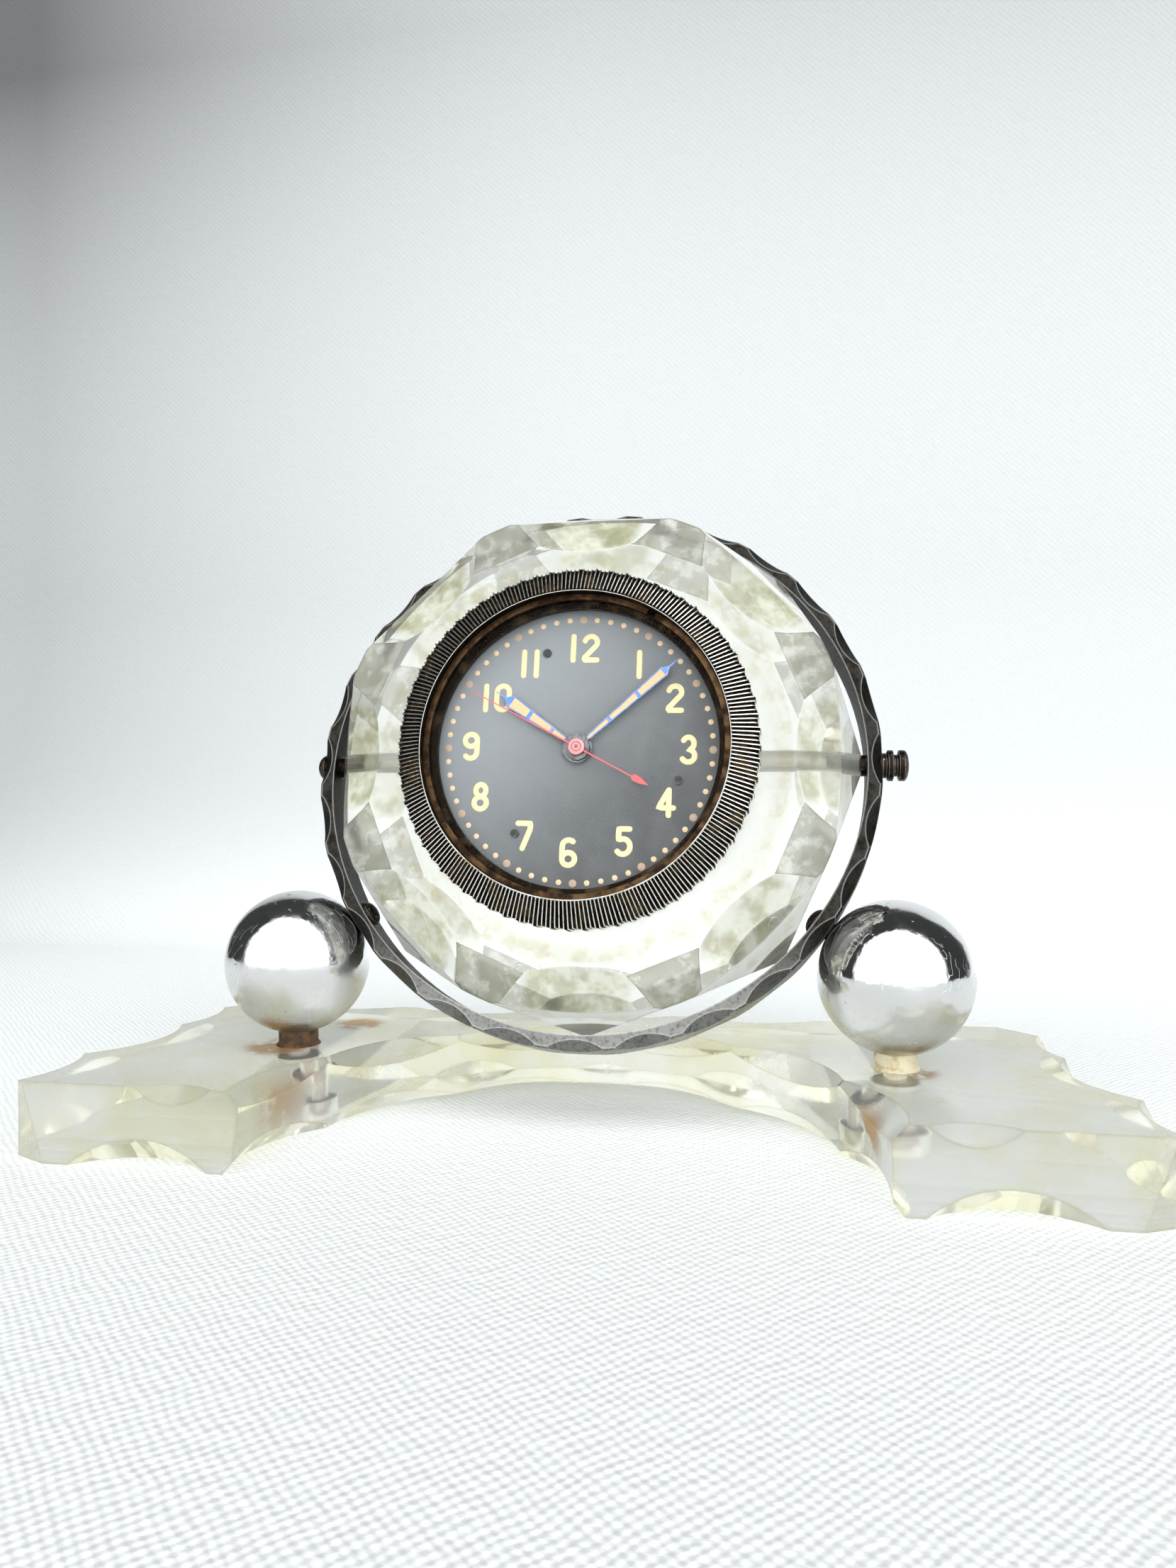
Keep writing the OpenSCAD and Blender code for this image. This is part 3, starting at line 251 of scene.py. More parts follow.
def arc(x, y, rx, ry, start, end, n=16):
    """Points of an ellipse's arc, from the start to the end angle in degrees."""
    a = np.radians(np.linspace(start, end, n))
    return np.stack([x + rx * np.cos(a), y + ry * np.sin(a)], -1)


def line(*corners, n=6):
    """Points along straight runs between corners."""
    corners = np.asarray(corners, float)
    runs = [a + (b - a) * np.linspace(0, 1, n)[:, None] for a, b in zip(corners[:-1], corners[1:])]
    return np.concatenate(runs)


def digit(figure, half):
    """Middle lines of a digit's strokes, each as the runs that it joins, in shares of the height and from
    the digit's own middle. The strokes' ends lie half a stroke inside the height."""
    top = 0.5 - half
    bowl = top / 2
    wide, hook, stem = 0.21, 0.17, 0.09

    def bow(sign, start, end, n=16):
        return arc(0, sign * bowl, wide, bowl, start, end, n)

    return {
        0: [(bow(1, 0, 180), bow(-1, 180, 360), [[wide, bowl]])],
        1: [(line((0, top), (0, -top)),)],
        2: [(bow(1, 165, -35), line((-wide, -top + 0.08), (-wide, -top), (wide, -top)))],
        3: [(arc(0, bowl, 0.18, bowl, 150, -90), bow(-1, 90, -150))],
        4: [(line((stem, top), (-wide - 0.03, -hook), (wide + 0.03, -hook)),),
            (line((stem, top), (stem, -top)),)],
        5: [(line((wide - 0.03, top), (-hook, top), (-hook, 0.06)),
             arc(-0.02, -0.16, wide + 0.02, top - 0.16, 118, -140))],
        6: [(bow(1, 50, 180), bow(-1, 180, 540, 28))],
        7: [(line((-wide, top), (wide, top), (wide - 0.02, bowl), (-0.04, -top)),)],
        8: [(arc(0, bowl + 0.01, 0.17, bowl - 0.01, -90, 270, 28),), (bow(-1, 90, 450, 28),)],
        9: [(bow(-1, -140, 0), bow(1, 0, 360, 28))],
    }[figure]


def stroke(path, half, height, level, across=9, caps=5):
    """A rounded raised stroke along a flat path: half-width half, height * (1 - t^2)^0.35 across, with round
    ends where the half-width falls as the cosine and the middle runs on by the sine."""
    path = path[np.concatenate([[True], np.linalg.norm(np.diff(path, axis=0), axis=1) > 1e-6])]
    ahead = np.gradient(path, axis=0)
    ahead /= np.linalg.norm(ahead, axis=1)[:, None]
    a = np.radians(np.linspace(90, 0, caps, endpoint=False))
    first = path[0] - ahead[0] * (half * np.sin(a))[:, None]
    last = path[-1] + ahead[-1] * (half * np.sin(a[::-1]))[:, None]
    middle = np.concatenate([first, path, last])
    way = np.concatenate([np.repeat(ahead[:1], caps, 0), ahead, np.repeat(ahead[-1:], caps, 0)])
    share = np.concatenate([np.cos(a), np.ones(len(path)), np.cos(a[::-1])])
    side = np.stack([-way[:, 1], way[:, 0]], -1)
    t = np.cos(np.linspace(0, np.pi, across))
    flat = middle[:, None] + side[:, None] * (half * share[:, None] * t)[..., None]
    flat = np.concatenate([flat, flat[:, -1:], flat[:, :1]], 1)
    top = height * np.sqrt(np.clip(1 - t ** 2, 0, 1)) ** 0.7 * share[:, None] ** 0.5
    under = np.full((len(middle), 2), -PAINT_SINK)
    w = np.concatenate([top, under], 1) + level
    points = np.concatenate([flat, w[..., None]], -1)
    return points.reshape(-1, 3), grid_faces(len(middle), across + 2, wrap_v=True)


def joined(parts):
    """One list of points and one of faces from several."""
    points, faces = zip(*parts)
    firsts = np.cumsum([0] + [len(part) for part in points])
    return np.concatenate(points), np.concatenate([part + first for part, first in zip(faces, firsts)])


# Nodes of materials

def add(tree, kind, values=None, **settings):
    """One shader node of a tree. Settings are its own fields; values go to its inputs, and sockets are
    linked."""
    node = tree.nodes.new("ShaderNode" + kind)
    for field, value in settings.items():
        setattr(node, field, value)
    for key, value in (values or {}).items():
        if isinstance(value, NodeSocket):
            tree.links.new(value, node.inputs[key])
        else:
            node.inputs[key].default_value = value
    return node


def tree_of(*values):
    """The tree of the first socket among these values."""
    return next(value.id_data for value in values if isinstance(value, NodeSocket))


def calc(operation, a, b=0.0):
    """The result of one sum on two values."""
    return add(tree_of(a, b), "Math", {0: a, 1: b}, operation=operation).outputs[0]


def times(a, b):
    return calc("MULTIPLY", a, b)


def plus(a, b):
    return calc("ADD", a, b)


def minus(a, b):
    return calc("SUBTRACT", a, b)


def larger(a, b):
    return calc("MAXIMUM", a, b)


def vector(operation, a, b=(0.0, 0.0, 0.0), output="Vector"):
    """The result of one sum on two vectors: a vector, or else its value."""
    return add(tree_of(a, b), "VectorMath", {0: a, 1: b}, operation=operation).outputs[output]


def dot(a, b):
    return vector("DOT_PRODUCT", a, b, "Value")


def scaled(a, factor):
    """A vector times a value."""
    return add(a.id_data, "VectorMath", {0: a, "Scale": factor}, operation="SCALE").outputs["Vector"]


def coordinate(place, axis):
    """One coordinate of a place: 0 for x, 1 for y and 2 for z."""
    return add(place.id_data, "SeparateXYZ", {0: place}).outputs[axis]


def rgba(plain):
    """A colour with full cover."""
    return (*tuple(plain)[:3], 1.0)


def mix(share, a, b):
    """A colour part way from a to b."""
    a, b = (end if isinstance(end, NodeSocket) else rgba(end) for end in (a, b))
    return add(tree_of(share, a, b), "Mix", {0: share, 6: a, 7: b}, data_type="RGBA").outputs[2]


def ramp(value, low, high, to_low=0.0, to_high=1.0, course="SMOOTHSTEP"):
    """A value's rise from to_low at low to to_high at high, smooth unless its course is LINEAR."""
    return add(value.id_data, "MapRange", {0: value, 1: low, 2: high, 3: to_low, 4: to_high},
               interpolation_type=course).outputs[0]


def between(mask, low, high):
    """A value from low where a mask is 0 to high where it is 1."""
    return ramp(mask, 0.0, 1.0, low, high)


def band(value, rise, fall):
    """A mask that rises over one pair of levels and falls over the other."""
    return times(ramp(value, *rise), ramp(value, *fall))


def noise(place, scale, detail=2.0, rough=0.5, output="Fac"):
    """Soft noise from 0 to 1, or else its colour."""
    values = {"Vector": place, "Scale": scale, "Detail": detail, "Roughness": rough}
    return add(place.id_data, "TexNoise", values).outputs[output]


def bump(height, distance, strength=1.0):
    """The normal that a height gives, in shares of a distance in metres."""
    values = {"Height": height, "Distance": distance, "Strength": strength}
    return add(height.id_data, "Bump", values).outputs[0]


# Shader groups that materials share

def group(name, inputs, outputs):
    """An empty shader group, its inputs' sockets and its outputs'. An input with no value is a vector."""
    tree = bpy.data.node_groups.new(name, "ShaderNodeTree")
    for socket, value in inputs.items():
        kind = "NodeSocketVector" if value is None else "NodeSocketFloat"
        made = tree.interface.new_socket(socket, in_out="INPUT", socket_type=kind)
        if value is not None:
            made.default_value = value
    for socket in outputs:
        tree.interface.new_socket(socket, in_out="OUTPUT", socket_type="NodeSocketFloat")
    return tree, tree.nodes.new("NodeGroupInput").outputs, tree.nodes.new("NodeGroupOutput").inputs


def make_blotches():
    """Soft patches: noise between two levels."""
    tree, given, result = group("Blotches", {"Vector": None, "Scale": 100.0, "Detail": 4.0, "Level": 0.55,
                                             "Softness": 0.08}, ["Mask"])
    patches = noise(given["Vector"], given["Scale"], given["Detail"], 0.62)
    low = minus(given["Level"], given["Softness"])
    high = plus(given["Level"], given["Softness"])
    tree.links.new(ramp(patches, low, high), result["Mask"])
    return tree


def make_scratches():
    """Fine long scratches: where noise, drawn out along one direction, passes its middle value. They are
    kept in patches of a coarser noise."""
    tree, given, result = group("Scratches", {"Vector": None, "Scale": 60.0, "Turn": 0.5, "Stretch": 14.0,
                                              "Width": 0.006}, ["Mask"])
    turned = add(tree, "VectorRotate", {"Vector": given["Vector"], "Axis": (0.3, 0.8, 0.5),
                                        "Angle": given["Turn"]}, rotation_type="AXIS_ANGLE")
    stretch = add(tree, "CombineXYZ", {0: 1.0, 1: given["Stretch"], 2: given["Stretch"]})
    long = vector("MULTIPLY", turned.outputs[0], stretch.outputs[0])
    off_middle = calc("ABSOLUTE", minus(noise(long, given["Scale"], 1.0), 0.5))
    thin = ramp(off_middle, 0.0, given["Width"], 1.0, 0.0)
    kept = ramp(noise(given["Vector"], 70.0), 0.5, 0.62)
    tree.links.new(times(thin, kept), result["Mask"])
    return tree


def make_brushing():
    """Brushed grain: fine noise drawn out along X, from 0 to 1."""
    tree, given, result = group("Brushing", {"Vector": None, "Scale": 900.0, "Stretch": 0.04}, ["Grain"])
    stretch = add(tree, "CombineXYZ", {0: given["Stretch"], 1: 1.0, 2: 1.0})
    long = vector("MULTIPLY", given["Vector"], stretch.outputs[0])
    tree.links.new(noise(long, given["Scale"], 3.0), result["Grain"])
    return tree


def make_edge_wear():
    """Edge wear: how far a rounded normal leans from the flat one, 0 on a face and 1 along a sharp edge."""
    tree, given, result = group("Edge wear", {"Width": 0.0005}, ["Mask"])
    soft = add(tree, "Bevel", {"Radius": given["Width"]}, samples=4).outputs[0]
    flat = add(tree, "NewGeometry").outputs["True Normal"]
    tree.links.new(ramp(dot(soft, flat), 0.9985, 0.984), result["Mask"])
    return tree


def make_about_axis():
    """Places about an axis: the distance from it, and how far the surface faces away from it and along it."""
    tree, given, result = group("About axis", {"Vector": None, "Centre": None, "Axis": None},
                                ["Radius", "Away", "Along"])
    from_centre = vector("SUBTRACT", given["Vector"], given["Centre"])
    on_axis = scaled(given["Axis"], dot(from_centre, given["Axis"]))
    spoke = vector("SUBTRACT", from_centre, on_axis)
    normal = add(tree, "NewGeometry").outputs["Normal"]
    tree.links.new(vector("LENGTH", spoke, output="Value"), result["Radius"])
    tree.links.new(dot(normal, vector("NORMALIZE", spoke)), result["Away"])
    tree.links.new(dot(normal, given["Axis"]), result["Along"])
    return tree


GROUP_MAKERS = {"Blotches": make_blotches, "Scratches": make_scratches, "Brushing": make_brushing,
                "Edge wear": make_edge_wear, "About axis": make_about_axis}


def placed(tree, name, **values):
    """One of the shared groups in a material, with its own values, as its output sockets."""
    shared = bpy.data.node_groups.get(name) or GROUP_MAKERS[name]()
    given = {key.capitalize(): value for key, value in values.items()}
    return add(tree, "Group", given, node_tree=shared).outputs


def blotches(place, scale, level, softness):
    return placed(place.id_data, "Blotches", vector=place, scale=scale, level=level, softness=softness)[0]


def scratches(place, scale, turn, width):
    return placed(place.id_data, "Scratches", vector=place, scale=scale, turn=turn, width=width)[0]


def brushing(place, scale=900.0, stretch=0.04):
    return placed(place.id_data, "Brushing", vector=place, scale=scale, stretch=stretch)[0]


def edge_wear(place, width):
    return placed(place.id_data, "Edge wear", width=width)[0]


def about_axis(place, centre=CENTRE, axis=OUT):
    return placed(place.id_data, "About axis", vector=place, centre=tuple(centre), axis=tuple(axis))


# Materials

def start_material(name, **constants):
    """A material with its Principled shader, the shader's constants set on its own sockets, and the places
    on the piece."""
    material = bpy.data.materials.new(name)
    material.use_nodes = True
    shader = material.node_tree.nodes["Principled BSDF"]
    for key, value in constants.items():
        shader.inputs[key.replace("_", " ")].default_value = value
    return material, add(material.node_tree, "TexCoord").outputs["Object"]


def feed(material, **sockets):
    """Links sockets to the inputs of a material's shader."""
    tree = material.node_tree
    for key, socket in sockets.items():
        tree.links.new(socket, tree.nodes["Principled BSDF"].inputs[key.replace("_", " ")])
    return material


def let_light_through(material, share):
    """Lets this share of the light pass on to what stands behind a clear piece."""
    shadow = add(material.node_tree, "LightPath").outputs["Is Shadow Ray"]
    feed(material, Alpha=minus(1.0, times(shadow, share)))


def clear_acrylic(name, density, clear, milk, clean, edge_wear_and_shade_tint, haze, scratch_width, rusty=False, cut=False):
    """Old clear plastic: yellow in its depth, cloudy, hazed and scratched on its face and worn along its
    edges. On the drum's corners and sloping sides its edges get painted shade, a dark outline, instead. Where
    asked, rust has run into it, or it has the drum's cut faces."""
    colours = bpy.context.scene.clock.colours
    material, place = start_material(name, Transmission_Weight=clear, IOR=ACRYLIC_IOR)
    hazy = blotches(place, 48.0, 0.51, 0.09)
    fine = blotches(place, 300.0, 0.55, 0.09)
    scratched = larger(scratches(place, 30.0, 0.6, scratch_width), scratches(place, 24.0, 2.1, scratch_width))
    tint = mix(times(fine, 0.25), mix(hazy, milk, clean), (0.99, 0.99, 0.96))
    rough = plus(plus(times(hazy, haze), times(scratched, 0.12)), times(fine, haze * 0.5))
    worn = edge_wear_and_shade_tint
    if cut:
        tint, rough, edge_shade_mask = cut_drum(place, fine, tint, rough)
        # Painted shade on the drum: its corners' and sides' edges take the dark edge colour; elsewhere the
        # edges are worn pale
        worn = mix(edge_shade_mask, FROST, edge_wear_and_shade_tint)
    tint = mix(times(scratched, 0.25), tint, FROST)
    tint = mix(times(edge_wear(place, 0.0007), 0.9), tint, worn)
    if rusty:
        rust = rust_in_plastic(place)
        tint = mix(rust, tint, colours.rust)
        rough = plus(rough, times(rust, 0.3))
    height = minus(noise(place, 90.0), times(scratched, 0.2))
    feed(material, Base_Color=tint, Roughness=plus(rough, 0.02), Normal=bump(height, 0.00006))
    let_light_through(material, 0.80)
    tree = material.node_tree
    depth = add(tree, "VolumeAbsorption", {"Color": rgba(colours.acrylic), "Density": density})
    tree.links.new(depth.outputs[0], tree.nodes["Material Output"].inputs["Volume"])
    return material


def rust_in_plastic(place):
    """Rust run into the plastic from the studs: blotches inside soft balls about the stains' middles."""
    reach = None
    for x, y, z, size in STAINS:
        away = vector("DISTANCE", place, (x * MM, y * MM, z * MM), "Value")
        near = ramp(away, size * MM, 0.45 * size * MM)
        reach = near if reach is None else larger(reach, near)
    return times(reach, times(blotches(place, 190.0, 0.43, 0.07), 0.95))


def cut_faces(place):
    """Masks on the drum: the middles of the scoops and the corners' triangles, by how far they face along the
    axis, the sloping sides, the bore for the clock and the pivots' holes, left as turned, and dirt on the
    faces round the bezel. A scoop's middle comes from the cosine of eight times the angle about the axis.
    Each pair of levels, a cosine or a radius in metres, is where a mask starts and where it is full."""
    scoop_facing, corner_facing = ((0.60, 0.70), (0.945, 0.935)), ((0.935, 0.945), (0.992, 0.982))
    side_facing, flat_facing = (0.55, 0.40), (0.990, 0.995)
    dirt_r = (0.0340, 0.0365), (0.0385, 0.0375)
    bore_r, pivot_r = (0.0298, 0.0294), (0.0026, 0.0024)
    about = about_axis(place)
    radius, along = about["Radius"], calc("ABSOLUTE", about["Along"])
    angle = calc("ARCCOSINE", calc("DIVIDE", minus(coordinate(place, 0), float(CENTRE[0])), radius))
    middle = ramp(calc("COSINE", times(angle, 8.0)), -0.35, 0.05)
    scoop = times(band(along, *scoop_facing), middle)
    corner = band(along, *corner_facing)
    side = ramp(along, *side_facing)
    bore = times(ramp(radius, *bore_r), ramp(about["Away"], -0.6, -0.9))
    pivots = ramp(about_axis(place, axis=LEVEL)["Radius"], *pivot_r)
    turned = larger(times(bore, 0.8), pivots)
    dirt = times(band(radius, *dirt_r), ramp(along, *flat_facing))
    return scoop, corner, side, turned, dirt


def cut_drum(place, fine, tint, rough):
    """The drum's colour and roughness with its cut faces on them, and a mask of where its edges get painted
    shade.
    """
    turned_tint, dirt_tint = (0.50, 0.49, 0.42), (0.66, 0.62, 0.46)
    scoop, corner, side, turned, dirt = cut_faces(place)
    streaks = blotches(place, 190.0, 0.50, 0.12)
    olive = mix(streaks, (0.42, 0.41, 0.26), (0.80, 0.80, 0.68))
    grey = mix(fine, (0.30, 0.295, 0.23), (0.62, 0.62, 0.56))
    for mask, cut_tint in ((scoop, olive), (corner, grey), (turned, turned_tint),
                           (times(dirt, plus(fine, 0.25)), dirt_tint)):
        tint = mix(mask, tint, cut_tint)
    for mask, added in ((scoop, 0.06), (corner, 0.16), (turned, 0.35)):
        rough = plus(rough, times(mask, added))
    return tint, rough, larger(corner, side)


def polished_steel(name):
    """Bearing steel, bright above and dulled below, pitted, with a brown stain by its seat."""
    bright, dulled = (0.78, 0.785, 0.79), (0.68, 0.68, 0.655)
    stain, pit = (0.34, 0.29, 0.17), (0.25, 0.20, 0.15)
    dull_below, stained_below = (0.0315, 0.0235), (0.0215, 0.0165)
    material, place = start_material(name, Metallic=1.0)
    height = coordinate(place, 2)
    patches = blotches(place, 110.0, 0.52, 0.12)
    wiped = blotches(place, 60.0, 0.50, 0.04)
    pits = blotches(place, 800.0, 0.69, 0.03)
    worn = times(ramp(height, *dull_below), plus(times(patches, 0.45), 0.5))
    seat = times(ramp(height, *stained_below), plus(times(patches, 0.6), 0.25))
    tint = mix(times(pits, 0.5), mix(seat, mix(worn, bright, dulled), stain), pit)
    rough = plus(plus(times(worn, 0.34), times(pits, 0.3)), times(wiped, 0.09))
    lines = scratches(place, 45.0, 1.2, 0.010)
    dents = plus(minus(patches, plus(pits, times(lines, 0.5))), times(wiped, 0.6))
    return feed(material, Base_Color=tint, Roughness=plus(rough, 0.06), Normal=bump(dents, 0.00005, 0.6))


def scalloped_metal(name, lean):
    """The ring's plating: grey and sooty, brushed, worn bright at its edges, and with painted shade
    that makes it black-brown inside and higher up.
    """
    bright, dulled = (0.20, 0.20, 0.19), (0.12, 0.118, 0.105)
    black, bare = (0.008, 0.006, 0.003), (0.62, 0.62, 0.60)
    painted_shade_above = (0.020, 0.038)
    material, place = start_material(name, Metallic=1.0)
    low, high = (np.array(corner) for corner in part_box("ring"))
    about = about_axis(place, (low + high) / 2, (0.0, -math.cos(lean), math.sin(lean)))
    soot = blotches(place, 330.0, 0.56, 0.12)
    fine = blotches(place, 1400.0, 0.58, 0.10)
    # Painted shade: the inner face and the upper part go near black, mixed with the real soot
    inside = ramp(about["Away"], -0.35, -0.75)
    above = ramp(coordinate(place, 2), *painted_shade_above)
    dark = larger(times(soot, 0.22), times(inside, 0.97))
    dark = larger(dark, times(above, plus(times(soot, 0.10), 0.86)))
    tint = mix(dark, mix(fine, bright, dulled), black)
    tint = mix(times(edge_wear(place, 0.0004), 0.45), tint, bare)
    rough = plus(between(dark, 0.26, 0.48), times(fine, 0.10))
    height = plus(plus(times(brushing(place, 1300.0, 0.15), 0.5), soot), times(fine, 0.4))
    return feed(material, Base_Color=tint, Roughness=rough, Normal=bump(height, 0.00003, 0.5))


def specked_steel(name):
    """The pivots' steel: brown-black, with bright specks where it has been handled."""
    material, place = start_material(name, Metallic=1.0)
    specks = blotches(place, 1500.0, 0.64, 0.04)
    bare = larger(times(specks, 0.8), times(edge_wear(place, 0.0002), 0.55))
    tint = mix(bare, (0.022, 0.016, 0.013), (0.40, 0.36, 0.31))
    return feed(material, Base_Color=tint, Roughness=between(bare, 0.42, 0.24),
                Normal=bump(specks, 0.00008, 0.7))


def hand_blue(name, blue):
    """Blued steel that is bare on the bosses round the arbor."""
    boss_r = (0.0030, 0.0027)
    material, place = start_material(name, Metallic=1.0)
    boss = ramp(about_axis(place)["Radius"], *boss_r)
    patches = blotches(place, 700.0, 0.55, 0.12)
    blued = mix(patches, blue, (0.22, 0.27, 0.42))
    steel = mix(patches, (0.17, 0.17, 0.18), (0.09, 0.085, 0.09))
    steel = mix(times(edge_wear(place, 0.00015), 0.8), steel, (0.05, 0.05, 0.06))
    return feed(material, Base_Color=mix(boss, blued, steel), Roughness=between(patches, 0.26, 0.40),
                Normal=bump(patches, 0.00002, 0.5))


def hub_enamel(name, pink):
    """The hub's enamel, with a dark ring and a dark dot in its middle."""
    dot_r, ring_r, ring_width = (0.00042, 0.00034), 0.00082, (0.00016, 0.00008)
    material, place = start_material(name, Roughness=0.35)
    radius = about_axis(place)["Radius"]
    middle_dot = ramp(radius, *dot_r)
    ring = ramp(calc("ABSOLUTE", minus(radius, ring_r)), *ring_width)
    dark = times(larger(middle_dot, ring), 0.8)
    tint = mix(times(blotches(place, 1200.0, 0.55, 0.12), 0.4), pink, (0.45, 0.20, 0.18))
    return feed(material, Base_Color=mix(dark, tint, (0.14, 0.03, 0.04)), Normal=bump(dark, -0.00004, 0.6))


def aged_metal(name, bright, dark, level, rough, scale=240.0):
    """Metal with patches of tarnish past a level and a brushed grain, each of its two tints with its own
    roughness."""
    material, place = start_material(name, Metallic=1.0)
    patches = blotches(place, scale, level, 0.14)
    grain = brushing(place)
    return feed(material, Base_Color=mix(patches, bright, dark),
                Roughness=plus(between(patches, *rough), times(grain, 0.08)),
                Normal=bump(plus(grain, patches), 0.00004, 0.6))


def painted(name, clean, soiled, rough=0.5, scale=300.0, level=0.6, depth=0.00003):
    """Paint or plastic with faint soiling past a level and a fine grain of this depth in metres."""
    material, place = start_material(name)
    grain = noise(place, 3500.0)
    return feed(material, Base_Color=mix(blotches(place, scale, level, 0.12), clean, soiled),
                Roughness=ramp(grain, 0.2, 0.8, rough - 0.06, rough + 0.1), Normal=bump(grain, depth, 0.6))


def dial_enamel(name, grey):
    """Smooth grey enamel with faint blotches, and painted glare that makes it a little lighter towards ten
    o'clock.
    """
    material, place = start_material(name)
    patches = blotches(place, 150.0, 0.52, 0.14)
    # Painted glare: lighter towards ten o'clock, darker opposite
    painted_glare = dot(vector("SUBTRACT", place, tuple(CENTRE)), tuple(0.7 * UP - 0.7 * ACROSS))
    dark, pale = (tuple(share * channel for channel in grey) for share in (0.48, 2.3))
    tint = mix(ramp(painted_glare, -0.022, 0.024), dark, pale)
    tint = mix(times(patches, 0.35), tint, mix(0.5, tint, (0.20, 0.21, 0.215)))
    return feed(material, Base_Color=tint, Roughness=between(patches, 0.46, 0.58))


def bezel_metal(name):
    """Worn plated brass: bright on the ribs' tops, with brown-black patina in the grooves and brown-black
    painted shade inside the rim.
    """
    material, place = start_material(name, Metallic=1.0)
    groove_patina_and_shade = add(material.node_tree, "Attribute", attribute_name="groove_patina_and_shade").outputs["Fac"]
    patches = blotches(place, 260.0, 0.60, 0.1)
    fine = blotches(place, 1800.0, 0.60, 0.06)
    brown = mix(patches, (0.008, 0.005, 0.003), (0.060, 0.040, 0.020))
    brown = mix(times(fine, 0.25), brown, (0.14, 0.11, 0.07))
    top = mix(patches, (0.86, 0.85, 0.81), (0.55, 0.50, 0.40))
    top = mix(times(fine, 0.5), top, (0.16, 0.12, 0.08))
    # Patina in the grooves and painted shade inside the rim share this brown-black
    patina_and_shade = ramp(groove_patina_and_shade, 0.05, 0.35)
    return feed(material, Base_Color=mix(patina_and_shade, top, brown), Roughness=between(patina_and_shade, 0.24, 0.60),
                Normal=bump(patches, 0.00003, 0.5))


def cover_glass(name):
    """Thin flat glass with a trace of dust. It lets nearly all light through to the dial behind it."""
    material, place = start_material(name, Transmission_Weight=1.0, IOR=GLASS_IOR,
                                     Base_Color=(0.99, 0.99, 0.99, 1.0))
    feed(material, Roughness=between(blotches(place, 120.0, 0.66, 0.1), 0.0, 0.05))
    let_light_through(material, 0.92)
    return material


def woven_cloth(name, studio):
    """White cloth with uneven threads on its own map: pale where it lies, with painted shade that makes it
    greyer where it hangs and darker far to the left and high up."""
    material, place = start_material(name, Roughness=0.9)
    tree, pitch = material.node_tree, studio.weave_pitch
    cloth_map = add(tree, "TexCoord").outputs["UV"]
    pull = scaled(noise(cloth_map, 0.22 / pitch, output="Color"), 0.9 * pitch)
    turns = scaled(vector("ADD", cloth_map, pull), 2 * math.pi / pitch)
    threads = times(calc("SINE", coordinate(turns, 0)), calc("SINE", coordinate(turns, 1)))
    weave = plus(threads, times(noise(cloth_map, 0.8 / pitch, 3.0), 4.0))
    # Painted shade on the wall: darker far to the left and high up
    left = calc("POWER", ramp(coordinate(place, 0), -0.045, -0.36, course="LINEAR"), 1.6)
    high = calc("POWER", ramp(coordinate(place, 2), 0.20, 0.45, course="LINEAR"), 2.0)
    upright = ramp(coordinate(place, 1), 0.02, 0.17, course="LINEAR")
    shade = plus(times(times(left, upright), 0.37), times(plus(times(left, 0.15), 0.30), high))
    lying = coordinate(add(tree, "NewGeometry").outputs["Normal"], 2)
    # Painted shade: the hanging cloth takes the greyer colour
    cloth = mix(calc("POWER", larger(lying, 0.0), 5.0), studio.shaded_wall_cloth, studio.floor_cloth)
    return feed(material, Base_Color=mix(shade, cloth, (0.0, 0.0, 0.0)), Normal=bump(weave, 0.00022, 0.35))


def finish(material, *nodes):
    """Gives CAD nodes this material in every slot."""
    for node in nodes:
        slots = frame["nodes"][node].data.materials
        for i in range(len(slots)):
            slots[i] = material


# Operators

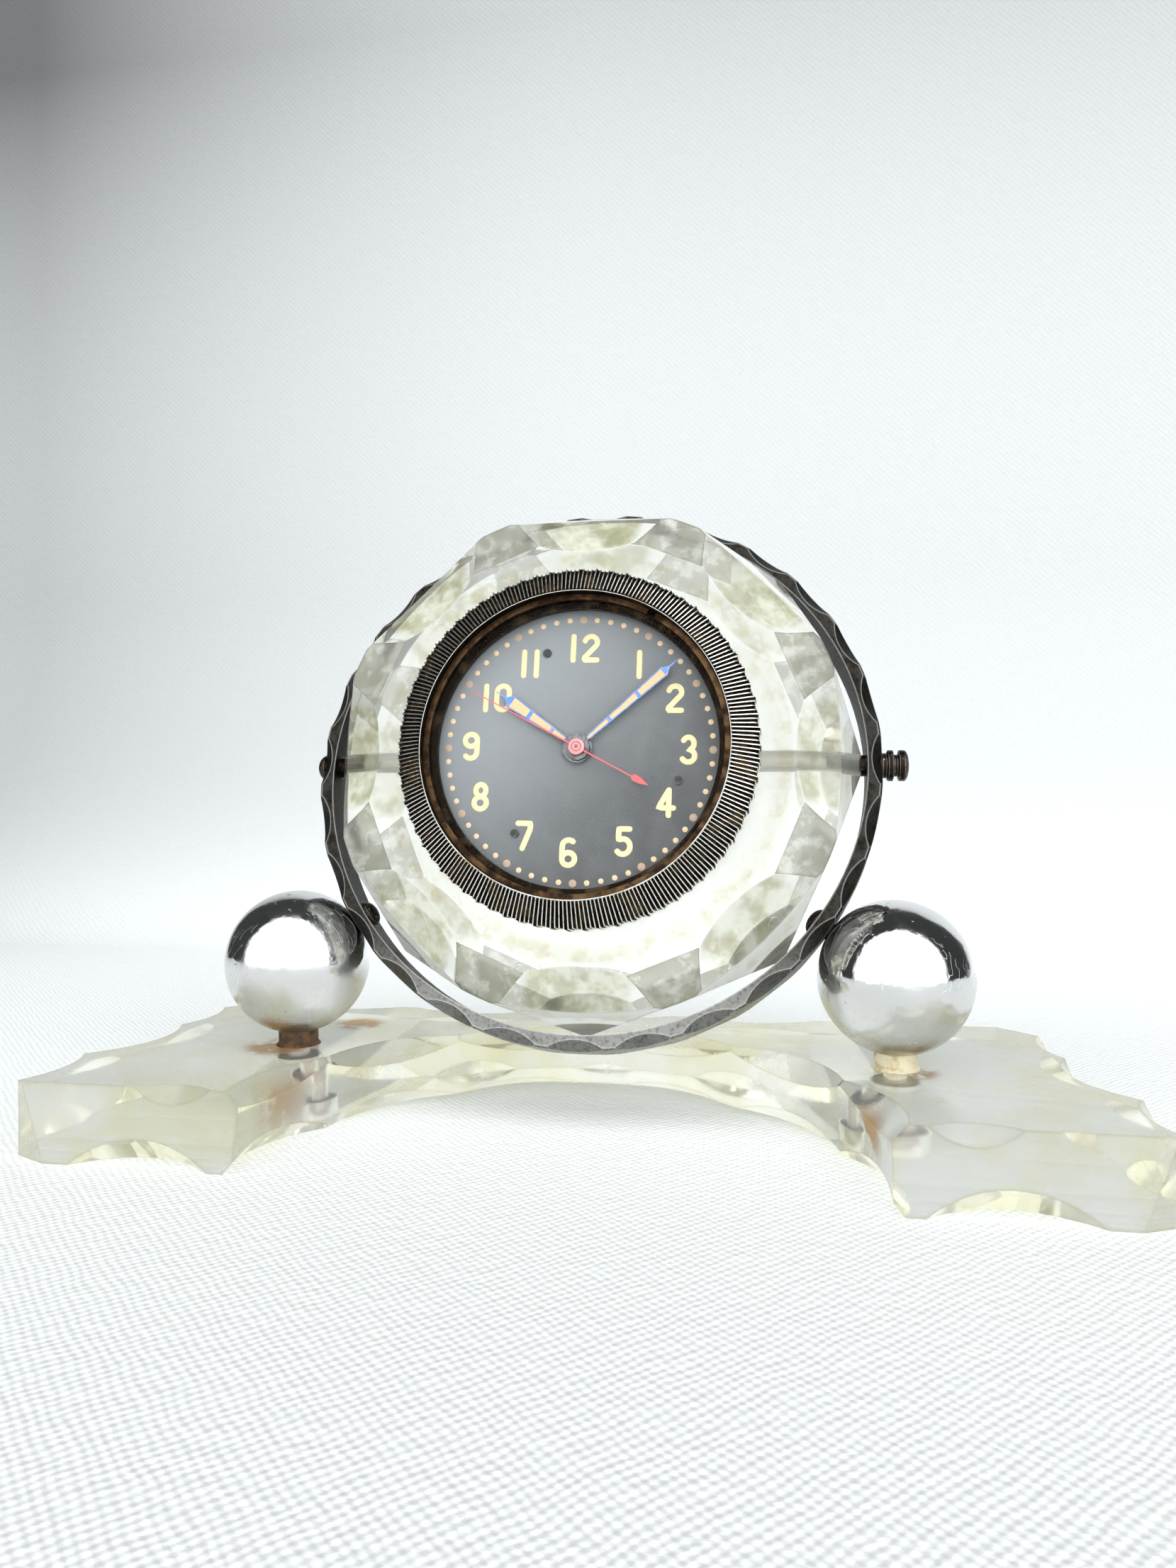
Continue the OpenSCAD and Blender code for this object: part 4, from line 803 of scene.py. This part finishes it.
class CLOCK_OT_stage(Operator):
    """Sets up the cloth floor and wall, the room's light and the camera"""
    bl_idname = "clock.stage"
    bl_label = "Stage"

    def execute(self, context):
        studio = context.scene.clock.studio
        material = woven_cloth("cloth", studio)
        back, sweep = studio.wall_distance, studio.sweep
        self.sheet("floor", FLOOR_HALF, np.array([[-FLOOR_HALF, 0.0], [back - sweep, 0.0]]), 1.0, material)
        a = np.radians(np.linspace(0, 90, 25))
        curve = np.stack([back - sweep + sweep * np.sin(a), sweep * (1 - np.cos(a))], -1)
        profile = np.concatenate([curve, [[back, studio.wall_height]]])
        self.sheet("wall", WALL_HALF, profile, 0.6, material)
        self.light_room(context.scene, studio)
        self.set_camera(context.scene, studio)
        return {"FINISHED"}

    def sheet(self, name, half, profile, map_share, material):
        """A sheet of cloth: a profile in y and z drawn out along x to both sides. Its map is its own
        lengths in metres times a share."""
        x = np.array([[-half], [half]])
        grid = np.stack(np.broadcast_arrays(x, *profile.T), -1)
        mesh = bpy.data.meshes.new(name)
        mesh.from_pydata(grid.reshape(-1, 3).tolist(), [], grid_faces(2, len(profile)).tolist())
        steps = np.linalg.norm(np.diff(profile, axis=0), axis=1)
        along = profile[0, 0] + np.append(0, np.cumsum(steps))
        uv = map_share * np.stack(np.broadcast_arrays(x, along), -1).reshape(-1, 2)
        corner = np.empty(len(mesh.loops), np.int32)
        mesh.loops.foreach_get("vertex_index", corner)
        mesh.uv_layers.new(name="cloth").data.foreach_set("uv", uv[corner].ravel())
        mesh.shade_smooth()
        mesh.materials.append(material)
        thing = in_scene(name, mesh)

    def light_room(self, scene, studio):
        """A window in front of the object and a dark room around it. Clear plastic sees the room less dark,
        and the camera sees it pale."""
        scene.world = bpy.data.worlds.new("room")
        scene.world.use_nodes = True
        tree = scene.world.node_tree
        toward = add(tree, "TexCoord").outputs["Generated"]
        edge = math.cos(studio.window_width)
        mask = ramp(dot(toward, WINDOW_WAY), edge - 0.06, edge + 0.05)
        brighter_right = ramp(coordinate(toward, 0), -0.9, 0.7, 0.78, 1.12)
        window = times(times(mask, brighter_right), studio.window_light)
        rays = add(tree, "LightPath").outputs
        in_plastic = calc("GREATER_THAN", rays["Transmission Depth"], 0.5)
        room = plus(times(in_plastic, studio.plastic_fill), studio.room_light)
        backdrop = times(rays["Is Camera Ray"], 0.9)
        light = tree.nodes["Background"].inputs
        light["Color"].default_value = (0.97, 0.99, 1.0, 1.0)
        tree.links.new(larger(larger(window, room), backdrop), light["Strength"])

    def set_camera(self, scene, studio):
        """The camera at the photograph's place, angle and width of view."""
        data = bpy.data.cameras.new("camera")
        data.sensor_fit = "HORIZONTAL"
        data.sensor_width = 36.0
        data.lens = studio.focal_length
        data.clip_start = 0.01
        camera = in_scene("camera", data)
        turn = (Matrix.Rotation(studio.camera_yaw, 4, "Z")
                @ Matrix.Rotation(math.radians(90) - studio.camera_pitch, 4, "X")
                @ Matrix.Rotation(studio.camera_roll, 4, "Z"))
        camera.matrix_world = Matrix.Translation(studio.camera_at) @ turn
        scene.camera = camera
        scene.view_settings.view_transform = "Standard"


class CLOCK_OT_base_plate(Operator):
    """Finishes the clear base plate with its collars and studs"""
    bl_idname = "clock.base_plate"
    bl_label = "Base plate"

    def execute(self, context):
        milk = context.scene.clock.colours.base_milk
        finish(clear_acrylic("base_acrylic", density=7.5, clear=0.84, milk=milk, clean=(0.98, 0.98, 0.95),
                             edge_wear_and_shade_tint=(0.70, 0.66, 0.44), haze=0.14, scratch_width=0.007, rusty=True),
               "base_plate")
        cream = painted("collar_cream", (0.78, 0.72, 0.52), (0.55, 0.42, 0.22), 0.35, 500.0)
        rust = painted("collar_rust", (0.13, 0.065, 0.025), (0.04, 0.02, 0.01), 0.6, 500.0, level=0.5)
        for side, paint in (("left", rust), ("right", cream)):
            finish(paint, f"ball_collar_{side}")
            stud = aged_metal(f"stud_{side}", (0.35, 0.30, 0.24), (0.12, 0.07, 0.04), 0.5, rough=(0.35, 0.6))
            finish(stud, f"ball_stud_{side}")
        return {"FINISHED"}


class CLOCK_OT_balls(Operator):
    """Turns the two steel balls as fine spheres, flat where they sit on their collars"""
    bl_idname = "clock.balls"
    bl_label = "Balls"

    def execute(self, context):
        steel = polished_steel("ball_steel")
        for side in ("left", "right"):
            low, high = (np.array(corner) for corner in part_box(f"ball_{side}"))
            centre = (low + high) / 2
            radius = (high[0] - low[0]) / 2
            centre[2] = high[2] - radius
            self.sphere(f"steel_ball_{side}", centre, radius, low[2] - centre[2], steel, f"ball_{side}")
        return {"FINISHED"}

    def sphere(self, name, centre, radius, floor, steel, node):
        """A sphere radius * (cos v cos u, cos v sin u, sin v), cut flat at a floor below its centre."""
        u = np.linspace(0, 2 * np.pi, 128, endpoint=False)
        v = np.linspace(math.asin(floor / radius), np.pi / 2, 80)[:, None]
        around = np.stack(np.broadcast_arrays(np.cos(v) * np.cos(u), np.cos(v) * np.sin(u), np.sin(v)), -1)
        flat = around[:1] * [0.0, 0.0, 1.0]
        grid = centre + radius * np.concatenate([flat, around])
        faces = grid_faces(*grid.shape[:2], wrap_v=True)
        piece = new_piece(name, grid, faces, "stand", steel)
        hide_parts(node)


class CLOCK_OT_ring(Operator):
    """Finishes the ring and the screws in it"""
    bl_idname = "clock.ring"
    bl_label = "Ring"

    def execute(self, context):
        finish(scalloped_metal("ring_nickel", math.radians(19.5)), "ring")
        finish(specked_steel("screw_steel"), "ring_screw_left", "ring_screw_right", "pivot_screw_left",
               "pivot_thumb_screw")
        return {"FINISHED"}


class CLOCK_OT_drum(Operator):
    """Finishes the faceted clear body"""
    bl_idname = "clock.drum"
    bl_label = "Drum"

    def execute(self, context):
        milk = context.scene.clock.colours.drum_milk
        # The near-black edge colour is painted shade along the drum's corner and side edges
        finish(clear_acrylic("drum_acrylic", density=3.0, clear=0.90, milk=milk, clean=(0.86, 0.865, 0.845),
                             edge_wear_and_shade_tint=(0.10, 0.095, 0.06), haze=0.07, scratch_width=0.006, cut=True), "drum")
        return {"FINISHED"}


class CLOCK_OT_case(Operator):
    """Finishes the case, its cover and the movement"""
    bl_idname = "clock.case"
    bl_label = "Case and movement"

    def execute(self, context):
        finish(painted("case_black", (0.03, 0.03, 0.032), (0.07, 0.06, 0.05), 0.45), "clock_case")
        nickel = aged_metal("cover_nickel", (0.5, 0.48, 0.44), (0.25, 0.22, 0.17), 0.6, rough=(0.28, 0.45))
        steel = aged_metal("bright_steel", (0.62, 0.62, 0.62), (0.40, 0.38, 0.35), 0.62, rough=(0.2, 0.35))
        brass = aged_metal("clock_brass", (0.78, 0.60, 0.28), (0.52, 0.38, 0.16), 0.62, rough=(0.22, 0.4))
        spring = aged_metal("spring_blue", (0.09, 0.14, 0.32), (0.05, 0.06, 0.12), 0.6, rough=(0.25, 0.4))
        finish(nickel, "back_cover")
        finish(steel, "back_cover_screws", "bezel_retainer", "bridge_screws", "winding_pinion",
               "ratchet_wheel", "cannon_pinion", "minute_wheel_post", "seconds_arbor", "escape_wheel",
               "pallet_fork")
        finish(brass, "bezel_gear", "main_plate", "train_bridge", "bridge_pillars", "barrel", "centre_wheel",
               "minute_wheel", "hour_wheel", "third_wheel", "fourth_wheel", "balance_wheel",
               "hairspring_stud")
        finish(spring, "mainspring", "hairspring")
        return {"FINISHED"}


class CLOCK_OT_dial(Operator):
    """Paints the dial's numerals and dots"""
    bl_idname = "clock.dial"
    bl_label = "Dial"

    def execute(self, context):
        colours, sizes = context.scene.clock.colours, context.scene.clock.dial
        finish(dial_enamel("dial_grey", colours.dial), "dial")
        finish(aged_metal("dial_screw", (0.16, 0.16, 0.17), (0.05, 0.05, 0.05), 0.5, rough=(0.3, 0.5)),
               "dial_screws")
        self.paint_numerals(colours, sizes)
        self.paint_dots(colours, sizes)
        return {"FINISHED"}

    def paint_numerals(self, colours, sizes):
        """The twelve numerals, each digit's strokes about the numeral's middle, as one piece."""
        cream = painted("numeral_cream", colours.cream, (0.78, 0.62, 0.32), 0.55, 700.0, 0.62, depth=0.00004)
        height, half = sizes.numeral_height, sizes.stroke / 2
        strokes = []
        for hour in range(1, 13):
            turn, radius = NUMERAL_PLACES[hour - 1]
            middle = radius * np.array([math.sin(math.radians(turn)), math.cos(math.radians(turn))])
            for figure, shift in self.figures(hour):
                for runs in digit(figure, half):
                    flat = middle + height * (np.concatenate(runs) + [shift, 0.0])
                    strokes.append(stroke(flat, height * half, sizes.paint, sizes.dial_front))
        points, faces = joined(strokes)
        new_piece("dial_numerals", to_frame(points), faces, "drum", cream, PAINT_SHARP)

    def figures(self, hour):
        """The digits of an hour, each with its shift from the numeral's middle in shares of the height."""
        if hour < 10:
            return [(hour, 0.0)]
        gap = {10: 0.56, 11: 0.41, 12: 0.57}[hour]
        return [(1, -gap / 2 - 0.02), (hour - 10, gap / 2)]

    def paint_dots(self, colours, sizes):
        """A dot every six degrees: larger and browned at the hours, small and tanned between them."""
        angle = np.radians(90 - 6 * np.arange(60))
        ring = sizes.dot_ring * np.stack([np.cos(angle), np.sin(angle)], -1)
        hours = np.arange(60) % 5 == 0
        browned = painted("hour_dot_brown", colours.hour_dots, (0.40, 0.28, 0.18), 0.5, 600.0, level=0.5)
        tanned = painted("minute_dot_tan", colours.minute_dots, (0.62, 0.45, 0.27), 0.5, 600.0, level=0.55)
        for name, kept, size, paint in (("minute_dots", ~hours, sizes.minute_dot, tanned),
                                        ("hour_dots", hours, sizes.hour_dot, browned)):
            points, faces = domes(ring[kept], size / 2, sizes.dial_front, sizes.paint)
            new_piece(name, to_frame(points), faces, "drum", paint, PAINT_SHARP)


class CLOCK_OT_bezel(Operator):
    """Turns the bezel with its ribs, scalloped edge and bright rim"""
    bl_idname = "clock.bezel"
    bl_label = "Bezel"

    def execute(self, context):
        points, groove_patina_and_shade = self.surface(context.scene.clock.bezel)
        faces = grid_faces(*points.shape[:2], wrap_u=True, wrap_v=True)
        metal = bezel_metal("bezel_plating")
        piece = new_piece("ribbed_bezel", to_frame(points), faces, "bezel", metal,
                          sharp_past=30, groove_patina_and_shade=groove_patina_and_shade)
        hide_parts("bezel")
        finish(aged_metal("snap_bronze", (0.115, 0.066, 0.032), (0.03, 0.018, 0.012), 0.5,
                          rough=(0.34, 0.55), scale=400.0), "glass_snap_ring")
        return {"FINISHED"}

    def surface(self, sizes):
        """A closed profile turned about the axis. On the cone each point sinks by depth * groove(angle), a
        trapezium wave with one period per rib, which fades out before the rim. The outer edge's radius falls
        by notch * |sin|^0.6 of half the notches' angle. The mask is 1 in the grooves, for patina, and
        inside the rim, for painted shade."""
        rim_r, rim_w = sizes.rim_r, sizes.rim_w
        edge_r, edge_w, back_w = sizes.outer_r, sizes.edge_w, sizes.back_w
        ease, lip, drop, corner = 0.1, 0.16, 0.25, 0.8
        top_r = rim_r + 0.25
        gear_r, gear_w = 29.2, 19.0
        glass_r, glass_w = 25.4, 20.0
        snap_r, snap_back, snap_front = rim_r + 0.5, 21.6, 22.4
        cone = np.linspace(0, 1, 12)
        cone_r = edge_r + (top_r - edge_r) * cone
        cone_w = edge_w + (rim_w - ease - edge_w) * cone
        before = np.array([[gear_r, gear_w], [gear_r, back_w], [edge_r - corner, back_w],
                           [edge_r, back_w + corner], [edge_r, edge_w - drop]])
        rim = np.array([[top_r - ease, rim_w], [rim_r + ease, rim_w]])
        inside = np.array([[rim_r, rim_w - ease], [rim_r, rim_w - lip], [rim_r, snap_front],
                           [snap_r, snap_front], [snap_r, snap_back], [rim_r, snap_back],
                           [rim_r, glass_w], [glass_r, glass_w], [glass_r, gear_w]])
        profile = np.concatenate([before, np.stack([cone_r, cone_w], -1), rim, inside])
        fade_end, fade, edge_share = 0.99, 0.03, 0.55
        share = np.concatenate([np.zeros(len(before) - 1), [edge_share],
                                np.clip((fade_end - cone) / fade, 0, 1), np.zeros(len(rim) + len(inside))])
        points_per_rib = 8
        a = np.linspace(0, 2 * np.pi, sizes.ribs * points_per_rib, endpoint=False)
        phase = (a * sizes.ribs / (2 * np.pi)) % 1.0
        flank = 0.10
        groove = np.clip((np.abs(phase - 0.5) * -2 + 1 - sizes.land) / flank, 0, 1)
        sink = groove[:, None] * share
        slope = math.atan2(rim_w - edge_w, edge_r - top_r)
        notch = sizes.notch_depth * np.abs(np.sin(a * sizes.notches / 2)) ** 0.6
        notched = np.zeros(len(profile))
        notched[2:8] = 0.3, 1.0, 1.0, 1.0, 0.6, 0.25
        r = profile[:, 0] - sizes.rib_depth * sink * math.sin(slope) - notch[:, None] * notched
        w = profile[:, 1] - sizes.rib_depth * sink * math.cos(slope)
        # Painted shade: the rows inside the rim are marked for the dark colour
        painted_shade_inside = np.arange(len(profile)) >= len(profile) - len(inside)
        return np.stack([r * np.cos(a)[:, None], r * np.sin(a)[:, None], w], -1), np.maximum(sink, painted_shade_inside)


class CLOCK_OT_glass(Operator):
    """Finishes the glass over the dial"""
    bl_idname = "clock.glass"
    bl_label = "Glass"

    def execute(self, context):
        finish(cover_glass("dial_glass"), "glass")
        return {"FINISHED"}


class CLOCK_OT_hands(Operator):
    """Finishes the hands"""
    bl_idname = "clock.hands"
    bl_label = "Hands"

    def execute(self, context):
        colours = context.scene.clock.colours
        peach = painted("hand_peach", colours.peach, (0.62, 0.38, 0.20), 0.6, 900.0, 0.55, depth=0.00008)
        finish(hand_blue("blued_steel", colours.blue), "hour_hand", "minute_hand")
        finish(peach, "hour_hand_inlay", "minute_hand_inlay")
        finish(painted("seconds_red", colours.red, (0.45, 0.10, 0.08), 0.4), "seconds_hand")
        finish(hub_enamel("hub_pink", colours.hub), "seconds_hub")
        return {"FINISHED"}


OPERATORS = (CLOCK_OT_stage, CLOCK_OT_base_plate, CLOCK_OT_balls, CLOCK_OT_ring, CLOCK_OT_drum, CLOCK_OT_case,
             CLOCK_OT_dial, CLOCK_OT_bezel, CLOCK_OT_glass, CLOCK_OT_hands)


class CLOCK_PT_finish(Panel):
    """Lists the clock's pieces in the 3D view's sidebar"""
    bl_label = "Dashboard clock"
    bl_idname = "CLOCK_PT_finish"
    bl_space_type = "VIEW_3D"
    bl_region_type = "UI"
    bl_category = "Clock"

    def draw(self, context):
        for operator in OPERATORS:
            self.layout.operator(operator.bl_idname)


CLASSES = (StudioSettings, DialSizes, BezelSizes, FinishColours, ClockSettings, *OPERATORS, CLOCK_PT_finish)


def register():
    for cls in CLASSES:
        bpy.utils.register_class(cls)
    Scene.clock = PointerProperty(type=ClockSettings)


def unregister():
    del Scene.clock
    for cls in reversed(CLASSES):
        bpy.utils.unregister_class(cls)


def main():
    register()
    for operator in OPERATORS:
        space, name = operator.bl_idname.split(".")
        getattr(getattr(bpy.ops, space), name)()


if __name__ == "__main__":
    main()
